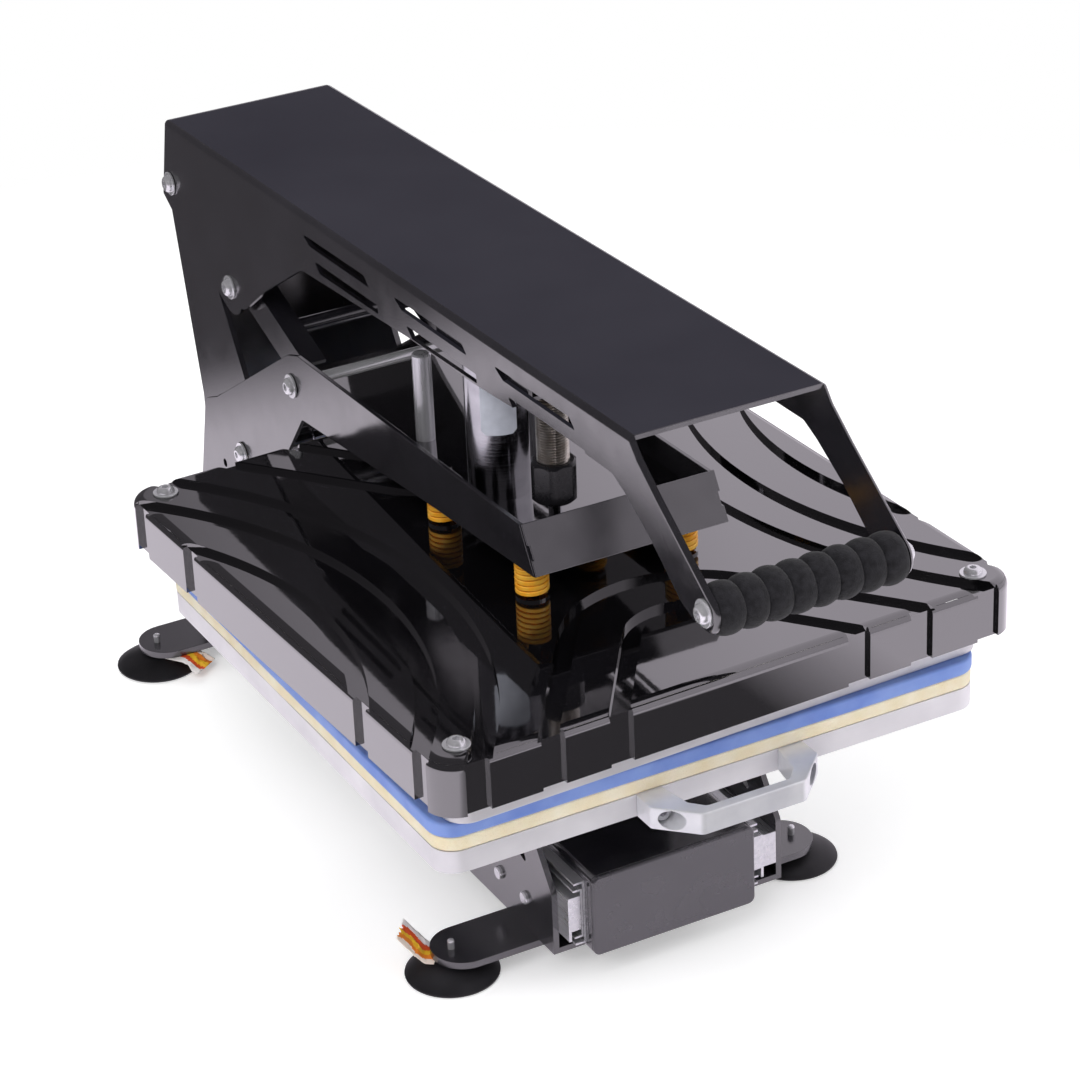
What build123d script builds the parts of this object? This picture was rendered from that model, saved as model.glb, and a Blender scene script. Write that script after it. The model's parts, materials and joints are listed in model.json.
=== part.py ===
from build123d import *
import math
import os

# Clamshell heat press for clothing. Millimetres, +Z up, operator at -Y, +X to the operator's right.
# Sizes are taken about the middle of the lower plate at floor level. Every part is moved
# along Y as it is saved, so the saved origin is under the middle of the whole press.

# Fits
running_fit = 0.05
soft_gap = 0.3
screw_gap = 0.05

# Lower plate and pads
plate_width = 380.0
plate_length = 400.0
plate_thickness = 15.0
plate_corner = 15.0
plate_bottom = 160.0
foam_thickness = 10.0
foam_overlap = 0.8
silicone_thickness = 10.0
silicone_overlap = 2.0

# Heating head
platen_thickness = 15.0
platen_turn = 1.89
cover_overhang = 16.0
cover_gap = 2.0
cover_height = 36.5
cover_corner = 20.0
cover_edge_round = 7.0
cover_sheet = 2.0
groove_depth = 3.8
side_groove_centre = 438.0
side_groove_radii = (343.0, 307.0, 266.0)
side_groove_widths = (15.0, 14.0, 12.0)
arch_centre_y = 163.0
arch_radii = (83.0, 44.0)
arch_groove_width = 12.0
arch_leg_angle = 53.7
wall_groove_width = 16.0
wall_groove_depth = 3.0
wall_grooves_x = (84.5, 131.0, 181.5)
wall_grooves_y = (116.7, 190.0)
cover_screw_inset_x = 22.0
cover_screw_inset_y = 20.0
post_radius = 6.0
post_plug = 3.0
element_radius = 4.0
element_span = 150.0
element_runs = 6
element_length = 160.0
blanket_thickness = 12.0
blanket_inset = 19.0
probe_height = 7.0
gland_x = 110.0
gland_z = 230.0

# Hanging of the head
hanger_x = 53.5
hanger_y = (-66.0, 53.0)
hanger_radius = 4.0
collar_radius = 10.8
collar_height = 1.5
spring_radius = 9.4
spring_wire = 1.6
spring_turns = 7
hanger_head_radius = 6.5
hanger_head_height = 1.5

# Pivots, as y and z
lever_pivot_y = 446.0
lever_pivot_z = 354.5
link_top_y = 351.0
link_top_z = 308.0
link_low_y = 250.0
link_low_z = 271.5
arm_pivot_y = 348.0
arm_pivot_z = 179.5
pivot_radius = 6.0
arm_shaft_radius = 6.5
shaft_collar_radius = 13.0
bush_wall = 2.0
link_shaft_radius = 5.0
bolt_head_radius = 6.3
bolt_head_height = 3.6
washer_radius = 8.6
washer_thickness = 1.5

# Widths of the nested plates, as half widths over their outer faces
arm_half = 68.3
arm_sheet = 3.0
lever_half = 66.0
lever_sheet = 3.0
pillar_half = 62.0
pillar_sheet = 4.0
link_half = 57.0
link_sheet = 4.0
base_half = 76.0
base_sheet = 4.0
side_gap = 0.3

# Arm
arm_tip_y = -81.0
arm_tip_z = 308.0
arm_nose_y = -98.0
arm_nose_z = 279.0
web_sheet = 4.0
web_level = 287.6
web_slope = 0.0304
web_rear_y = 225.0
front_sheet = 3.0
post_x = 40.0
post_y = 102.0
stop_radius = 6.35
stop_top = 345.7
magnet_x = -36.0
magnet_y = 6.0
magnet_radius = 20.0
magnet_seam = 322.8
damper_x = -32.0
damper_y = -60.0
damper_radius = 10.3
damper_pitch = 2.5
damper_thread = 0.8
damper_nut_radius = 14.8
damper_nut_bottom = 307.7
damper_nut_top = 334.6
damper_rod_radius = 4.2
bracket_level = 392.0
bracket_sheet = 3.0
bracket_rear_y = 30.0
bracket_front_y = -90.0

# Lever and grip
lever_top_rear_y = 446.4
lever_top_rear_z = 401.8
lever_top_front_y = -217.9
lever_top_front_z = 422.5
lever_bend = 4.0
lever_boss = 20.0
lever_tail = 19.0
grip_y = -297.0
grip_z = 346.0
grip_end = 13.0
grip_tube_radius = 9.0
grip_radius = 16.0
grip_valley = 13.6
grip_bulges = 8
slot_pitch = 136.0
slot_count = 3

# Base. The right side plate stands further out than the left one.
right_step = 18.0
floor_gap = 13.0
foot_bar_sheet = 5.0
foot_bar_width = 44.0
foot_bar_half = 141.0
foot_bar_y = (-75.0, 401.0)
foot_bolt_x = 128.0
cup_radius = 31.0
cup_neck = 9.0
cup_bore_depth = 8.0
foot_stud_radius = 2.4
foot_stud_height = 6.5
tag_sheet = 1.0
tag_width = 23.0
base_front_y = -117.0
base_rear_y = 437.0
base_nose_z = 63.0
base_top_z = 150.0
base_slope_y = -55.0
base_rear_cut = 62.0
bar_screw_radius = 3.0
flange_width = 31.0
bar_screw_x = 66.0
bar_screw_spread = 12.0
nut_notch_radius = 7.0
pan_front_y = 300.0
pan_wall_z = 110.0
pillar_boss = 18.0
pillar_front_y = 318.0
pillar_rear_y = 425.0
pillar_bolt_y = (354.0, 405.0)
pillar_bolt_z = 45.0
pillar_bolt_radius = 5.0
pillar_wall_sheet = 3.0
pillar_wall_y = 459.5
pillar_wall_z = 332.5

# Drawer slides
rail_bottom = 30.0
rail_height = 46.0
rail_sheet = 1.5
rail_front_y = -131.0
rail_length = 400.0
rail_lip = 8.0
middle_inset = 5.0
middle_depth = 6.7
inner_rail_low_z = 34.0
inner_rail_high_z = 66.0
inner_rail_sheet = 2.0
rail_end_height = 25.0
slide_screw_y = (-81.0, -46.0, 190.0, 225.0)
slide_screw_z = 41.5
slide_screw_radius = 2.5
spacer_low_z = 31.0
spacer_high_z = 55.0

# Control box and carriage
box_half = 59.5
box_bottom = 24.0
box_top = 82.0
box_front_y = -141.0
box_rear_y = 110.0
box_wall = 2.0
box_corner = 5.0
box_panel = 3.0
bracket_half = 50.0
carriage_front_y = -50.0
carriage_rear_y = 120.0
carriage_sheet = 3.0

# Pull handle
handle_half = 59.0
handle_depth = 40.0
handle_bar = 7.5
handle_bar_half = 36.0
handle_corner = 23.0
handle_gap_half = 40.0
handle_bore_x = 49.5
handle_bore_radius = 6.2
handle_screw_radius = 3.0
handle_screw_head = 5.0

# Gas struts
strut_x = 40.0
strut_low_y = 330.0
strut_low_z = 40.0
strut_high_y = 278.0
strut_high_z = 216.5
strut_radius = 9.0
strut_rod_radius = 4.0
strut_pin_radius = 5.0
strut_cylinder_end = 125.0
strut_rod_start = 62.0

# Levels that follow from the sizes above
foam_bottom = plate_bottom + plate_thickness
silicone_bottom = foam_bottom + foam_thickness
platen_bottom = silicone_bottom + silicone_thickness + soft_gap
platen_top = platen_bottom + platen_thickness
cover_bottom = platen_top + cover_gap - soft_gap
cover_top = cover_bottom + cover_height
cover_half_x = plate_width / 2 + cover_overhang
cover_half_y = plate_length / 2 + cover_overhang
flange_bottom = floor_gap + foot_bar_sheet
pan_bottom = flange_bottom + base_sheet
arm_inner = arm_half - arm_sheet
lever_inner = lever_half - lever_sheet
pillar_inner = pillar_half - pillar_sheet
link_inner = link_half - link_sheet
base_inner = base_half - base_sheet
middle_web = box_half + rail_sheet + side_gap
rail_lip_end = middle_web + rail_sheet + side_gap
press_front_y = grip_y - grip_radius
press_rear_y = lever_pivot_y + lever_tail
origin_shift = -(press_front_y + press_rear_y) / 2

os.makedirs("parts", exist_ok=True)


def save(name, *shapes):
    """Write one node, which may hold several separate solids."""
    solids = [solid for shape in shapes for solid in shape.solids()]
    node = Compound(solids).moved(Location((0, origin_shift, 0)))
    export_step(node, f"parts/{name}.step")


def pair(shape):
    """A left and a right copy of a shape."""
    return [shape, mirror(shape, about=Plane.YZ)]


def box_between(x_low, x_high, y_low, y_high, z_low, z_high):
    """A block from its lowest to its highest corner."""
    block = Box(x_high - x_low, y_high - y_low, z_high - z_low, align=(Align.MIN,) * 3)
    return Pos(x_low, y_low, z_low) * block


def side_sheet(points, x_low, x_high, radii=0.0):
    """A flat sheet that faces sideways, from its outline in y and z."""
    outline = make_face(FilletPolyline(*points, radius=radii, close=True))
    return extrude(Plane.YZ.offset(x_low) * outline, x_high - x_low, dir=(1, 0, 0))


def side_rod(radius, x_low, x_high, y, z):
    """A round bar that runs sideways."""
    bar = Cylinder(radius, x_high - x_low, align=(Align.CENTER, Align.CENTER, Align.MIN))
    return Plane(origin=(x_low, y, z), x_dir=(0, 1, 0), z_dir=(1, 0, 0)) * bar


def upright(radius, x, y, z_low, z_high):
    """A round bar that stands upright."""
    bar = Cylinder(radius, z_high - z_low, align=(Align.CENTER, Align.CENTER, Align.MIN))
    return Pos(x, y, z_low) * bar


def slab(half_x, half_y, z_low, z_high, corner):
    """A flat plate with rounded corners about the middle of the press."""
    outline = Pos(0, 0, z_low) * RectangleRounded(2 * half_x, 2 * half_y, corner)
    return extrude(outline, z_high - z_low, dir=(0, 0, 1))


def both_sides(x):
    """Places left and right of the middle of the base, the right one stepped out."""
    return (-x, x + right_step)


def button_bolt(radius, x_tip, x_seat, y, z):
    """A right-hand button-head bolt with its washer, from its tip out to its head."""
    shank = side_rod(radius, x_tip, x_seat + washer_thickness, y, z)
    washer = side_rod(washer_radius, x_seat, x_seat + washer_thickness, y, z)
    head_low = x_seat + washer_thickness
    head = side_rod(bolt_head_radius, head_low, head_low + bolt_head_height, y, z)
    head = fillet(head.edges().sort_by(Axis.X)[-1], bolt_head_height * 0.6)
    socket = side_rod(bolt_head_radius * 0.35, head_low + 1.2, head_low + bolt_head_height, y, z)
    return shank + washer + (head - socket)


def web_top(y):
    """Level of the arm web's upper face, which falls gently to the rear."""
    return web_level - web_slope * y


def web_outline(y_low, y_high, below_top, depth):
    """Outline of a strip that lies along the web's slope."""
    return [
        (y_low, web_top(y_low) - below_top),
        (y_high, web_top(y_high) - below_top),
        (y_high, web_top(y_high) - below_top - depth),
        (y_low, web_top(y_low) - below_top - depth),
    ]


def below_web_top():
    """Everything under the web's upper face, to trim what stands on the web."""
    return side_sheet(web_outline(-200, 300, 0, 100), -arm_inner, arm_inner)


# Base frame
def base_side_plate():
    """A side plate with its inward bottom flange and its window, drawn on the right."""
    outline = [
        (base_front_y, flange_bottom),
        (base_rear_y, flange_bottom),
        (base_rear_y, pan_wall_z),
        (base_rear_y - base_rear_cut, base_top_z),
        (base_slope_y, base_top_z),
        (base_front_y, base_nose_z),
    ]
    plate = side_sheet(outline, base_inner, base_half, radii=[0, 0, 12, 12, 12, 6])
    window = [
        (base_front_y + 31, base_nose_z + 5),
        (base_front_y + 67, base_top_z - 22),
        (pan_front_y - 50, base_top_z - 22),
        (pan_front_y - 10, base_nose_z + 14),
        (base_front_y + 57, base_nose_z + 14),
    ]
    plate -= side_sheet(window, base_inner - 1, base_half + 1, radii=[2, 6, 6, 4, 4])
    plate += box_between(
        base_half - flange_width, base_inner, base_front_y, base_rear_y, flange_bottom, pan_bottom
    )
    for y in slide_screw_y:
        plate -= side_rod(
            slide_screw_radius + screw_gap, base_inner - 1, base_half + 1, y, slide_screw_z
        )
    for y in pillar_bolt_y:
        plate -= side_rod(
            pillar_bolt_radius + screw_gap, base_inner - 1, base_half + 1, y, pillar_bolt_z
        )
    for y in bar_screw_rows():
        plate -= upright(
            bar_screw_radius + screw_gap, bar_screw_x, y, flange_bottom - 1, pan_bottom + 1
        )
    return plate


def base_side_plates():
    """The left plate, and the right one a step further out."""
    plate = base_side_plate()
    return [mirror(plate, about=Plane.YZ), Pos(right_step, 0, 0) * plate]


def bar_screw_rows():
    """The y of each row of screws that hold the foot bars to the flanges."""
    return [y + side * bar_screw_spread for y in foot_bar_y for side in (-1, 1)]


def bar_screw_places():
    """Places of all the screws in the foot bars."""
    return [(x, y) for y in bar_screw_rows() for x in both_sides(bar_screw_x)]


def foot_bar(y):
    """A flat bar with rounded ends under the whole width of the base."""
    bar = extrude(SlotOverall(2 * foot_bar_half, foot_bar_width), foot_bar_sheet)
    bar = Pos(0, y, floor_gap) * bar
    for side in (-1, 1):
        bar -= upright(
            foot_stud_radius + screw_gap, side * foot_bolt_x, y, floor_gap - 1, flange_bottom + 1
        )
    for x, screw_y in bar_screw_places():
        bar -= upright(bar_screw_radius + screw_gap, x, screw_y, floor_gap - 1, flange_bottom + 1)
    return bar


def suction_cup(x, y):
    """A rubber cup with a thin lip, a low dome and a neck under the foot bar."""
    profile = [
        (0, 3.0),
        (cup_radius - 8, 1.2),
        (cup_radius - 6, 0),
        (cup_radius, 0),
        (cup_radius, 1.6),
        (cup_radius - 4, 5.0),
        (cup_neck + 6, 9.5),
        (cup_neck, 10.5),
        (cup_neck, floor_gap),
        (0, floor_gap),
    ]
    cup = revolve(Plane.XZ * make_face(Polyline(*profile, close=True)), Axis.Z)
    cup -= upright(foot_stud_radius + screw_gap, 0, 0, floor_gap - cup_bore_depth, floor_gap + 1)
    return Pos(x, y, 0) * cup


def foot_bolt(x, y):
    """A cup's stud, screwed through the foot bar."""
    stud = upright(foot_stud_radius, x, y, floor_gap - cup_bore_depth, flange_bottom + foot_stud_height)
    return fillet(stud.edges().sort_by(Axis.Z)[-1], foot_stud_radius * 0.6)


def foot_tag(y, turn, edge, reach, rise):
    """A paper tag between a left cup and its bar, that bends up or down past the bar's edge."""
    level = floor_gap - tag_sheet
    route = [(cup_neck + soft_gap, level), (edge, level), (edge + reach, level + rise)]
    back = [(x, z + tag_sheet) for x, z in reversed(route)]
    outline = make_face(Polyline(*route, *back, close=True))
    strip = extrude(Plane.XZ.offset(-tag_width / 2) * outline, tag_width)
    return Pos(-foot_bolt_x, y, 0) * Rot(0, 0, turn) * strip


def bar_screw(x, y):
    """A screw from under the foot bar, with its nut on the flange."""
    head = upright(5.5, x, y, floor_gap - 2.5, floor_gap)
    shank = upright(bar_screw_radius, x, y, floor_gap, pan_bottom)
    nut = Pos(x, y, pan_bottom) * extrude(RegularPolygon(5.5, 6), 4)
    return head + shank + nut


def rear_base_pan():
    """Pan and rear wall that join the side plates, notched round the nuts of the foot bar."""
    left, right = both_sides(base_inner)
    pan = box_between(left, right, pan_front_y, base_rear_y, pan_bottom, pan_bottom + base_sheet)
    pan += box_between(left, right, base_rear_y - base_sheet, base_rear_y, pan_bottom, pan_wall_z)
    for x, y in bar_screw_places():
        pan -= upright(nut_notch_radius, x, y, pan_bottom - 1, pan_bottom + base_sheet + 1)
    return pan


def pillar_plate():
    """Right side of the pillar, from the pan up to the boss of the lever's pivot."""
    foot = pan_bottom + base_sheet
    outline = [
        (pillar_front_y, foot),
        (pillar_rear_y, foot),
        (pillar_rear_y + 4, arm_pivot_z + 14),
        (lever_pivot_y + 17, lever_pivot_z - 6),
        (lever_pivot_y - 19.5, lever_pivot_z + 5),
        (lever_pivot_y - 68, lever_pivot_z - 71),
        (arm_pivot_y, arm_pivot_z + 56),
        (pillar_front_y, arm_pivot_z + 6),
    ]
    plate = side_sheet(outline, pillar_inner, pillar_half, radii=[0, 0, 30, 4, 4, 40, 40, 30])
    plate += side_rod(pillar_boss, pillar_inner, pillar_half, lever_pivot_y, lever_pivot_z)
    plate -= side_rod(
        pivot_radius + screw_gap, pillar_inner - 1, pillar_half + 1, lever_pivot_y, lever_pivot_z
    )
    plate -= side_rod(
        arm_shaft_radius + screw_gap, pillar_inner - 1, pillar_half + 1, arm_pivot_y, arm_pivot_z
    )
    plate -= side_rod(
        strut_pin_radius + screw_gap, pillar_inner - 1, pillar_half + 1, strut_low_y, strut_low_z
    )
    for y in pillar_bolt_y:
        plate -= side_rod(
            pillar_bolt_radius + screw_gap, pillar_inner - 1, pillar_half + 1, y, pillar_bolt_z
        )
    return plate


def pillar():
    """Pillar folded from one sheet: its two sides and the wall that joins them at the rear."""
    edge = [
        (pillar_rear_y, pan_bottom + base_sheet),
        (pillar_rear_y + 4, arm_pivot_z + 14),
        (pillar_wall_y, pillar_wall_z),
    ]
    inner_edge = [(y - pillar_wall_sheet, z) for y, z in reversed(edge)]
    wall = side_sheet(edge + inner_edge, -pillar_inner, pillar_inner)
    right = pillar_plate()
    return right + mirror(right, about=Plane.YZ) + wall


def pillar_bolt(y, step):
    """A right-hand bolt with its spacer sleeve between pillar and side plate, nut inside."""
    shank = side_rod(pillar_bolt_radius, pillar_inner, base_half + step, y, pillar_bolt_z)
    sleeve = side_rod(9, pillar_half, base_inner + step, y, pillar_bolt_z)
    head = side_rod(8, base_half + step, base_half + step + 3.5, y, pillar_bolt_z)
    nut = side_rod(8, pillar_inner - 5, pillar_inner, y, pillar_bolt_z)
    return shank + sleeve + head + nut


def arm_pivot_shaft():
    """Shaft through the pillars and both arm plates, with its bolts and washers."""
    end = arm_half + side_gap
    shaft = side_rod(arm_shaft_radius, -end, end, arm_pivot_y, arm_pivot_z)
    collar = side_rod(
        shaft_collar_radius, pillar_half, arm_inner - side_gap, arm_pivot_y, arm_pivot_z
    )
    bolt = button_bolt(3, end - 20, end, arm_pivot_y, arm_pivot_z)
    return shaft + pair(collar)[0] + pair(collar)[1] + pair(bolt)[0] + pair(bolt)[1]


def lever_pivot_bolt():
    """Right bolt of the lever's pivot, with the washer between lever and pillar."""
    seat = lever_half + side_gap
    bolt = button_bolt(pivot_radius, pillar_inner - 8, seat, lever_pivot_y, lever_pivot_z)
    washer = side_rod(10, pillar_half, lever_inner - side_gap, lever_pivot_y, lever_pivot_z)
    nut = side_rod(10, pillar_inner - 8, pillar_inner, lever_pivot_y, lever_pivot_z)
    return bolt + washer + nut


# Drawer slides
def rail_profile(web, depth, z_low, z_high):
    """Right rail of C section, its web next to the control box and its lips turned outward."""
    end_y = rail_front_y + rail_length
    rail = box_between(web, web + depth, rail_front_y, end_y, z_low, z_high)
    hollow = box_between(
        web + rail_sheet,
        web + depth + 1,
        rail_front_y - 1,
        end_y + 1,
        z_low + rail_sheet,
        z_high - rail_sheet,
    )
    return rail - hollow


def outer_rail():
    """Tall rail on the right side of the control box."""
    return rail_profile(box_half, rail_lip, rail_bottom, rail_bottom + rail_height)


def middle_rail():
    """Telescopic rail between the drawer's rail and the fixed rail."""
    return rail_profile(
        middle_web,
        middle_depth,
        rail_bottom + middle_inset,
        rail_bottom + rail_height - middle_inset,
    )


def inner_rail():
    """Fixed rail on the inside of the base, with its bent top lip and its closed front end."""
    end_y = rail_front_y + rail_length
    low = inner_rail_low_z
    high = inner_rail_high_z
    rail = box_between(base_inner - inner_rail_sheet, base_inner, rail_front_y, end_y, low, high)
    rail += box_between(rail_lip_end, base_inner, rail_front_y, end_y, high - rail_sheet, high)
    rail += box_between(
        rail_lip_end,
        base_inner,
        rail_front_y,
        rail_front_y + inner_rail_sheet,
        high - rail_end_height,
        high,
    )
    for y in slide_screw_y:
        rail -= side_rod(
            slide_screw_radius + screw_gap,
            base_inner - inner_rail_sheet - 1,
            base_inner + 1,
            y,
            slide_screw_z,
        )
    return rail


def slide_spacer():
    """Bar that packs the right fixed rail out from the stepped side plate."""
    end_y = rail_front_y + rail_length
    far = base_inner + right_step
    bar = box_between(base_inner, far, base_front_y, end_y, spacer_low_z, spacer_high_z)
    for y in slide_screw_y:
        bar -= side_rod(slide_screw_radius + screw_gap, base_inner - 1, far + 1, y, slide_screw_z)
    return bar


def slide_screw(y, step):
    """A right-hand pan-head screw through the side plate into the fixed rail."""
    head_low = base_half + step
    shank = side_rod(slide_screw_radius, base_inner - inner_rail_sheet, head_low, y, slide_screw_z)
    head = side_rod(4.5, head_low, head_low + 2.5, y, slide_screw_z)
    return shank + fillet(head.edges().sort_by(Axis.X)[-1], 1.2)


# Arm
def arm_side_plate():
    """Right arm plate with its pivot holes and the boss that holds the gas strut."""
    outline = [
        (arm_pivot_y + 82.6, arm_pivot_z - 51.9),
        (arm_pivot_y + 63, arm_pivot_z + 19.5),
        (arm_pivot_y + 40, arm_pivot_z + 29.5),
        (link_low_y + 4.5, link_low_z + 21.5),
        (link_low_y - 12.4, link_low_z + 27),
        (arm_tip_y, arm_tip_z),
        (arm_nose_y, arm_nose_z),
        (arm_nose_y + 32, arm_nose_z - 2),
        (link_low_y - 200, link_low_z - 3.5),
        (link_low_y - 76.4, link_low_z - 14.7),
        (link_low_y - 12.6, link_low_z - 20.9),
        (link_low_y + 20.6, arm_pivot_z + 29.7),
        (arm_pivot_y - 48, arm_pivot_z - 8),
        (arm_pivot_y - 18, arm_pivot_z - 38),
        (arm_pivot_y + 72, arm_pivot_z - 61.5),
    ]
    radii = [4, 12, 10, 8, 8, 1, 1, 30, 60, 60, 5, 8, 8, 20, 8]
    plate = side_sheet(outline, arm_inner, arm_half, radii=radii)
    boss_face = strut_x + 6.5
    plate += side_rod(strut_pin_radius + 3, boss_face, arm_inner, strut_high_y, strut_high_z)
    plate -= side_rod(bush_radius(), arm_inner - 1, arm_half + 1, arm_pivot_y, arm_pivot_z)
    plate -= side_rod(
        link_shaft_radius + screw_gap, arm_inner - 1, arm_half + 1, link_low_y, link_low_z
    )
    plate -= side_rod(3, arm_inner - 1, arm_half + 1, arm_pivot_y + 35.5, arm_pivot_z - 22)
    return plate


def bush_radius():
    """Outer radius of the arm's pivot bushes."""
    return arm_shaft_radius + bush_wall


def arm_bush():
    """Right pivot bush, pressed in the arm plate."""
    bush = side_rod(bush_radius(), arm_inner, arm_half, arm_pivot_y, arm_pivot_z)
    hole = arm_shaft_radius + running_fit
    return bush - side_rod(hole, arm_inner - 1, arm_half + 1, arm_pivot_y, arm_pivot_z)


def arm_web():
    """Sloping plate between the arm plates that carries the head and the stops."""
    front_y = arm_nose_y + 7
    web = side_sheet(web_outline(front_y, web_rear_y, 0, web_sheet), -arm_inner, arm_inner)
    for y in hanger_y:
        for side in (-1, 1):
            web -= upright(hanger_radius + 0.6, side * hanger_x, y, web_top(y) - 20, web_top(y) + 20)
    return web


def arm_front_plate():
    """Slanted plate that closes the front of the arm, notched for its corner tabs."""
    run = math.hypot(arm_tip_y - arm_nose_y, arm_tip_z - arm_nose_z)
    out_y = -(arm_tip_z - arm_nose_z) / run * front_sheet
    out_z = (arm_tip_y - arm_nose_y) / run * front_sheet
    outline = [
        (arm_tip_y, arm_tip_z),
        (arm_nose_y, arm_nose_z),
        (arm_nose_y + out_y, arm_nose_z + out_z),
        (arm_tip_y + out_y, arm_tip_z + out_z),
    ]
    plate = side_sheet(outline, -arm_half, arm_half)
    middle_y = (arm_tip_y + arm_nose_y) / 2
    middle_z = (arm_tip_z + arm_nose_z) / 2
    notch = side_sheet(
        [
            (middle_y - 12, middle_z - 4),
            (middle_y + 12, middle_z - 4),
            (middle_y + 12, middle_z + 4),
            (middle_y - 12, middle_z + 4),
        ],
        arm_half - 1.5,
        arm_half + 1,
    )
    return plate - pair(notch)[0] - pair(notch)[1]


def link_shaft():
    """Chrome shaft across the arm that the links turn on, with its end bolts."""
    end = arm_half + side_gap
    shaft = side_rod(link_shaft_radius, -end, end, link_low_y, link_low_z)
    bolt = button_bolt(3, end - 15, end, link_low_y, link_low_z)
    return shaft + pair(bolt)[0] + pair(bolt)[1]


def stop_post():
    """Chrome post on the web, with a chamfered top."""
    post = upright(stop_radius, post_x, post_y, web_top(post_y) - 5, stop_top)
    post = chamfer(post.edges().sort_by(Axis.Z)[-1], 1.0)
    return post - below_web_top()


def magnet_armature():
    """Steel column on the web that the lever's magnet holds."""
    column = upright(magnet_radius, magnet_x, magnet_y, web_top(magnet_y) - 5, magnet_seam)
    return column - below_web_top()


# Lever
def top_line(y):
    """Level of the lever's upper face."""
    rise = (lever_top_front_z - lever_top_rear_z) / (lever_top_rear_y - lever_top_front_y)
    return lever_top_rear_z + (lever_top_rear_y - y) * rise


def lever_outline():
    """Side view of the lever from its rear edge to the round end at the grip."""
    return [
        (lever_top_rear_y, lever_top_rear_z),
        (lever_top_front_y, lever_top_front_z),
        (lever_top_front_y - 8, lever_top_front_z - 9.5),
        (lever_top_front_y - 29, lever_top_front_z - 25.5),
        (grip_y - 7.5, grip_z + 10.6),
        (grip_y - 11, grip_z - 5),
        (grip_y + 12, grip_z - 10),
        (grip_y + 27, grip_z - 4),
        (grip_y + 59, grip_z + 21),
        (grip_y + 87, grip_z + 38),
        (grip_y + 101, grip_z + 44.5),
        (grip_y + 139, grip_z + 44),
        (grip_y + 271, grip_z + 34),
        (grip_y + 363, grip_z + 31),
        (link_top_y - 126, link_top_z + 58),
        (link_top_y - 62, link_top_z + 19),
        (link_top_y - 23, link_top_z - 9),
        (link_top_y + 11, link_top_z - 17),
        (lever_pivot_y + 2, lever_pivot_z - 21.5),
        (lever_pivot_y + lever_tail, lever_pivot_z - 11),
        (lever_pivot_y + 4, lever_pivot_z + 46.5),
    ]


def on_top_line(edge):
    """Whether an edge's middle lies on the lever's upper face."""
    middle = edge @ 0.5
    return abs(middle.Z - top_line(middle.Y)) < 0.1


def slot_tool(near_rear, near_drop, rear_rear, rear_drop, front_y, front_drop, low_y, low_drop):
    """A slanted slot, each corner given by its place and its drop below the top line."""
    corners = [
        (near_rear, near_drop),
        (rear_rear, rear_drop),
        (low_y, low_drop),
        (front_y, front_drop),
    ]
    points = [(y, top_line(y) - drop) for y, drop in corners]
    return side_sheet(points, -lever_half - 1, lever_half + 1, radii=0.8)


def lever_channel():
    """Folded channel with cooling slots, and two arms that reach down to the grip."""
    radii = [1, 2, 8, 10, 2, 2, 2, 6, 10, 8, 8, 20, 60, 60, 20, 8, 10, 4, 2, 0, 1]
    body = side_sheet(lever_outline(), -lever_half, lever_half, radii=radii)
    body += side_rod(grip_end, -lever_half, lever_half, grip_y, grip_z)
    body += side_rod(lever_boss, -lever_half, lever_half, link_top_y, link_top_z)
    top_edges = body.edges().filter_by(GeomType.LINE).filter_by(on_top_line)
    body = fillet(top_edges.sort_by(SortBy.LENGTH)[-2:], lever_bend)
    reach = 200
    inside = [
        (lever_top_rear_y + reach, top_line(lever_top_rear_y + reach) - lever_sheet),
        (lever_top_front_y, top_line(lever_top_front_y) - lever_sheet),
        (lever_top_front_y, lever_top_front_z + 20),
        (lever_top_front_y - reach, lever_top_front_z + 20),
        (lever_top_front_y - reach, 0),
        (lever_top_rear_y + reach, 0),
    ]
    body -= side_sheet(inside, -lever_inner, lever_inner)
    for copy in range(slot_count):
        shift = copy * slot_pitch
        body -= slot_tool(
            220 - shift, 14.5, 208 - shift, 20.5, 126 - shift, 14.0, 119 - shift, 20.5
        )
        body -= slot_tool(
            203 - shift, 29.0, 195 - shift, 36.0, 108 - shift, 29.0, 107 - shift, 35.0
        )
    for y, z, radius in (
        (grip_y, grip_z, 4 + screw_gap),
        (link_top_y, link_top_z, pivot_radius + screw_gap),
        (lever_pivot_y, lever_pivot_z, pivot_radius + running_fit),
    ):
        body -= side_rod(radius, -lever_half - 1, lever_half + 1, y, z)
    return body


def grip_tube():
    """Steel tube between the lever's arms, threaded at both ends."""
    tube = side_rod(grip_tube_radius, -lever_inner, lever_inner, grip_y, grip_z)
    bore = side_rod(4 + screw_gap, lever_inner - 18, lever_inner + 1, grip_y, grip_z)
    return tube - pair(bore)[0] - pair(bore)[1]


def foam_grip():
    """Foam sleeve with round bulges along the tube."""
    half = lever_inner - 0.5
    pitch = 2 * half / grip_bulges
    outline = Line((-half, grip_tube_radius + soft_gap), (-half, grip_valley))
    for bulge in range(grip_bulges):
        left = -half + bulge * pitch
        outline += ThreePointArc(
            (left, grip_valley), (left + pitch / 2, grip_radius), (left + pitch, grip_valley)
        )
    outline += Line((half, grip_valley), (half, grip_tube_radius + soft_gap))
    outline += Line((half, grip_tube_radius + soft_gap), (-half, grip_tube_radius + soft_gap))
    sleeve = revolve(make_face(outline), Axis.X)
    return Pos(0, grip_y, grip_z) * sleeve


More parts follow.
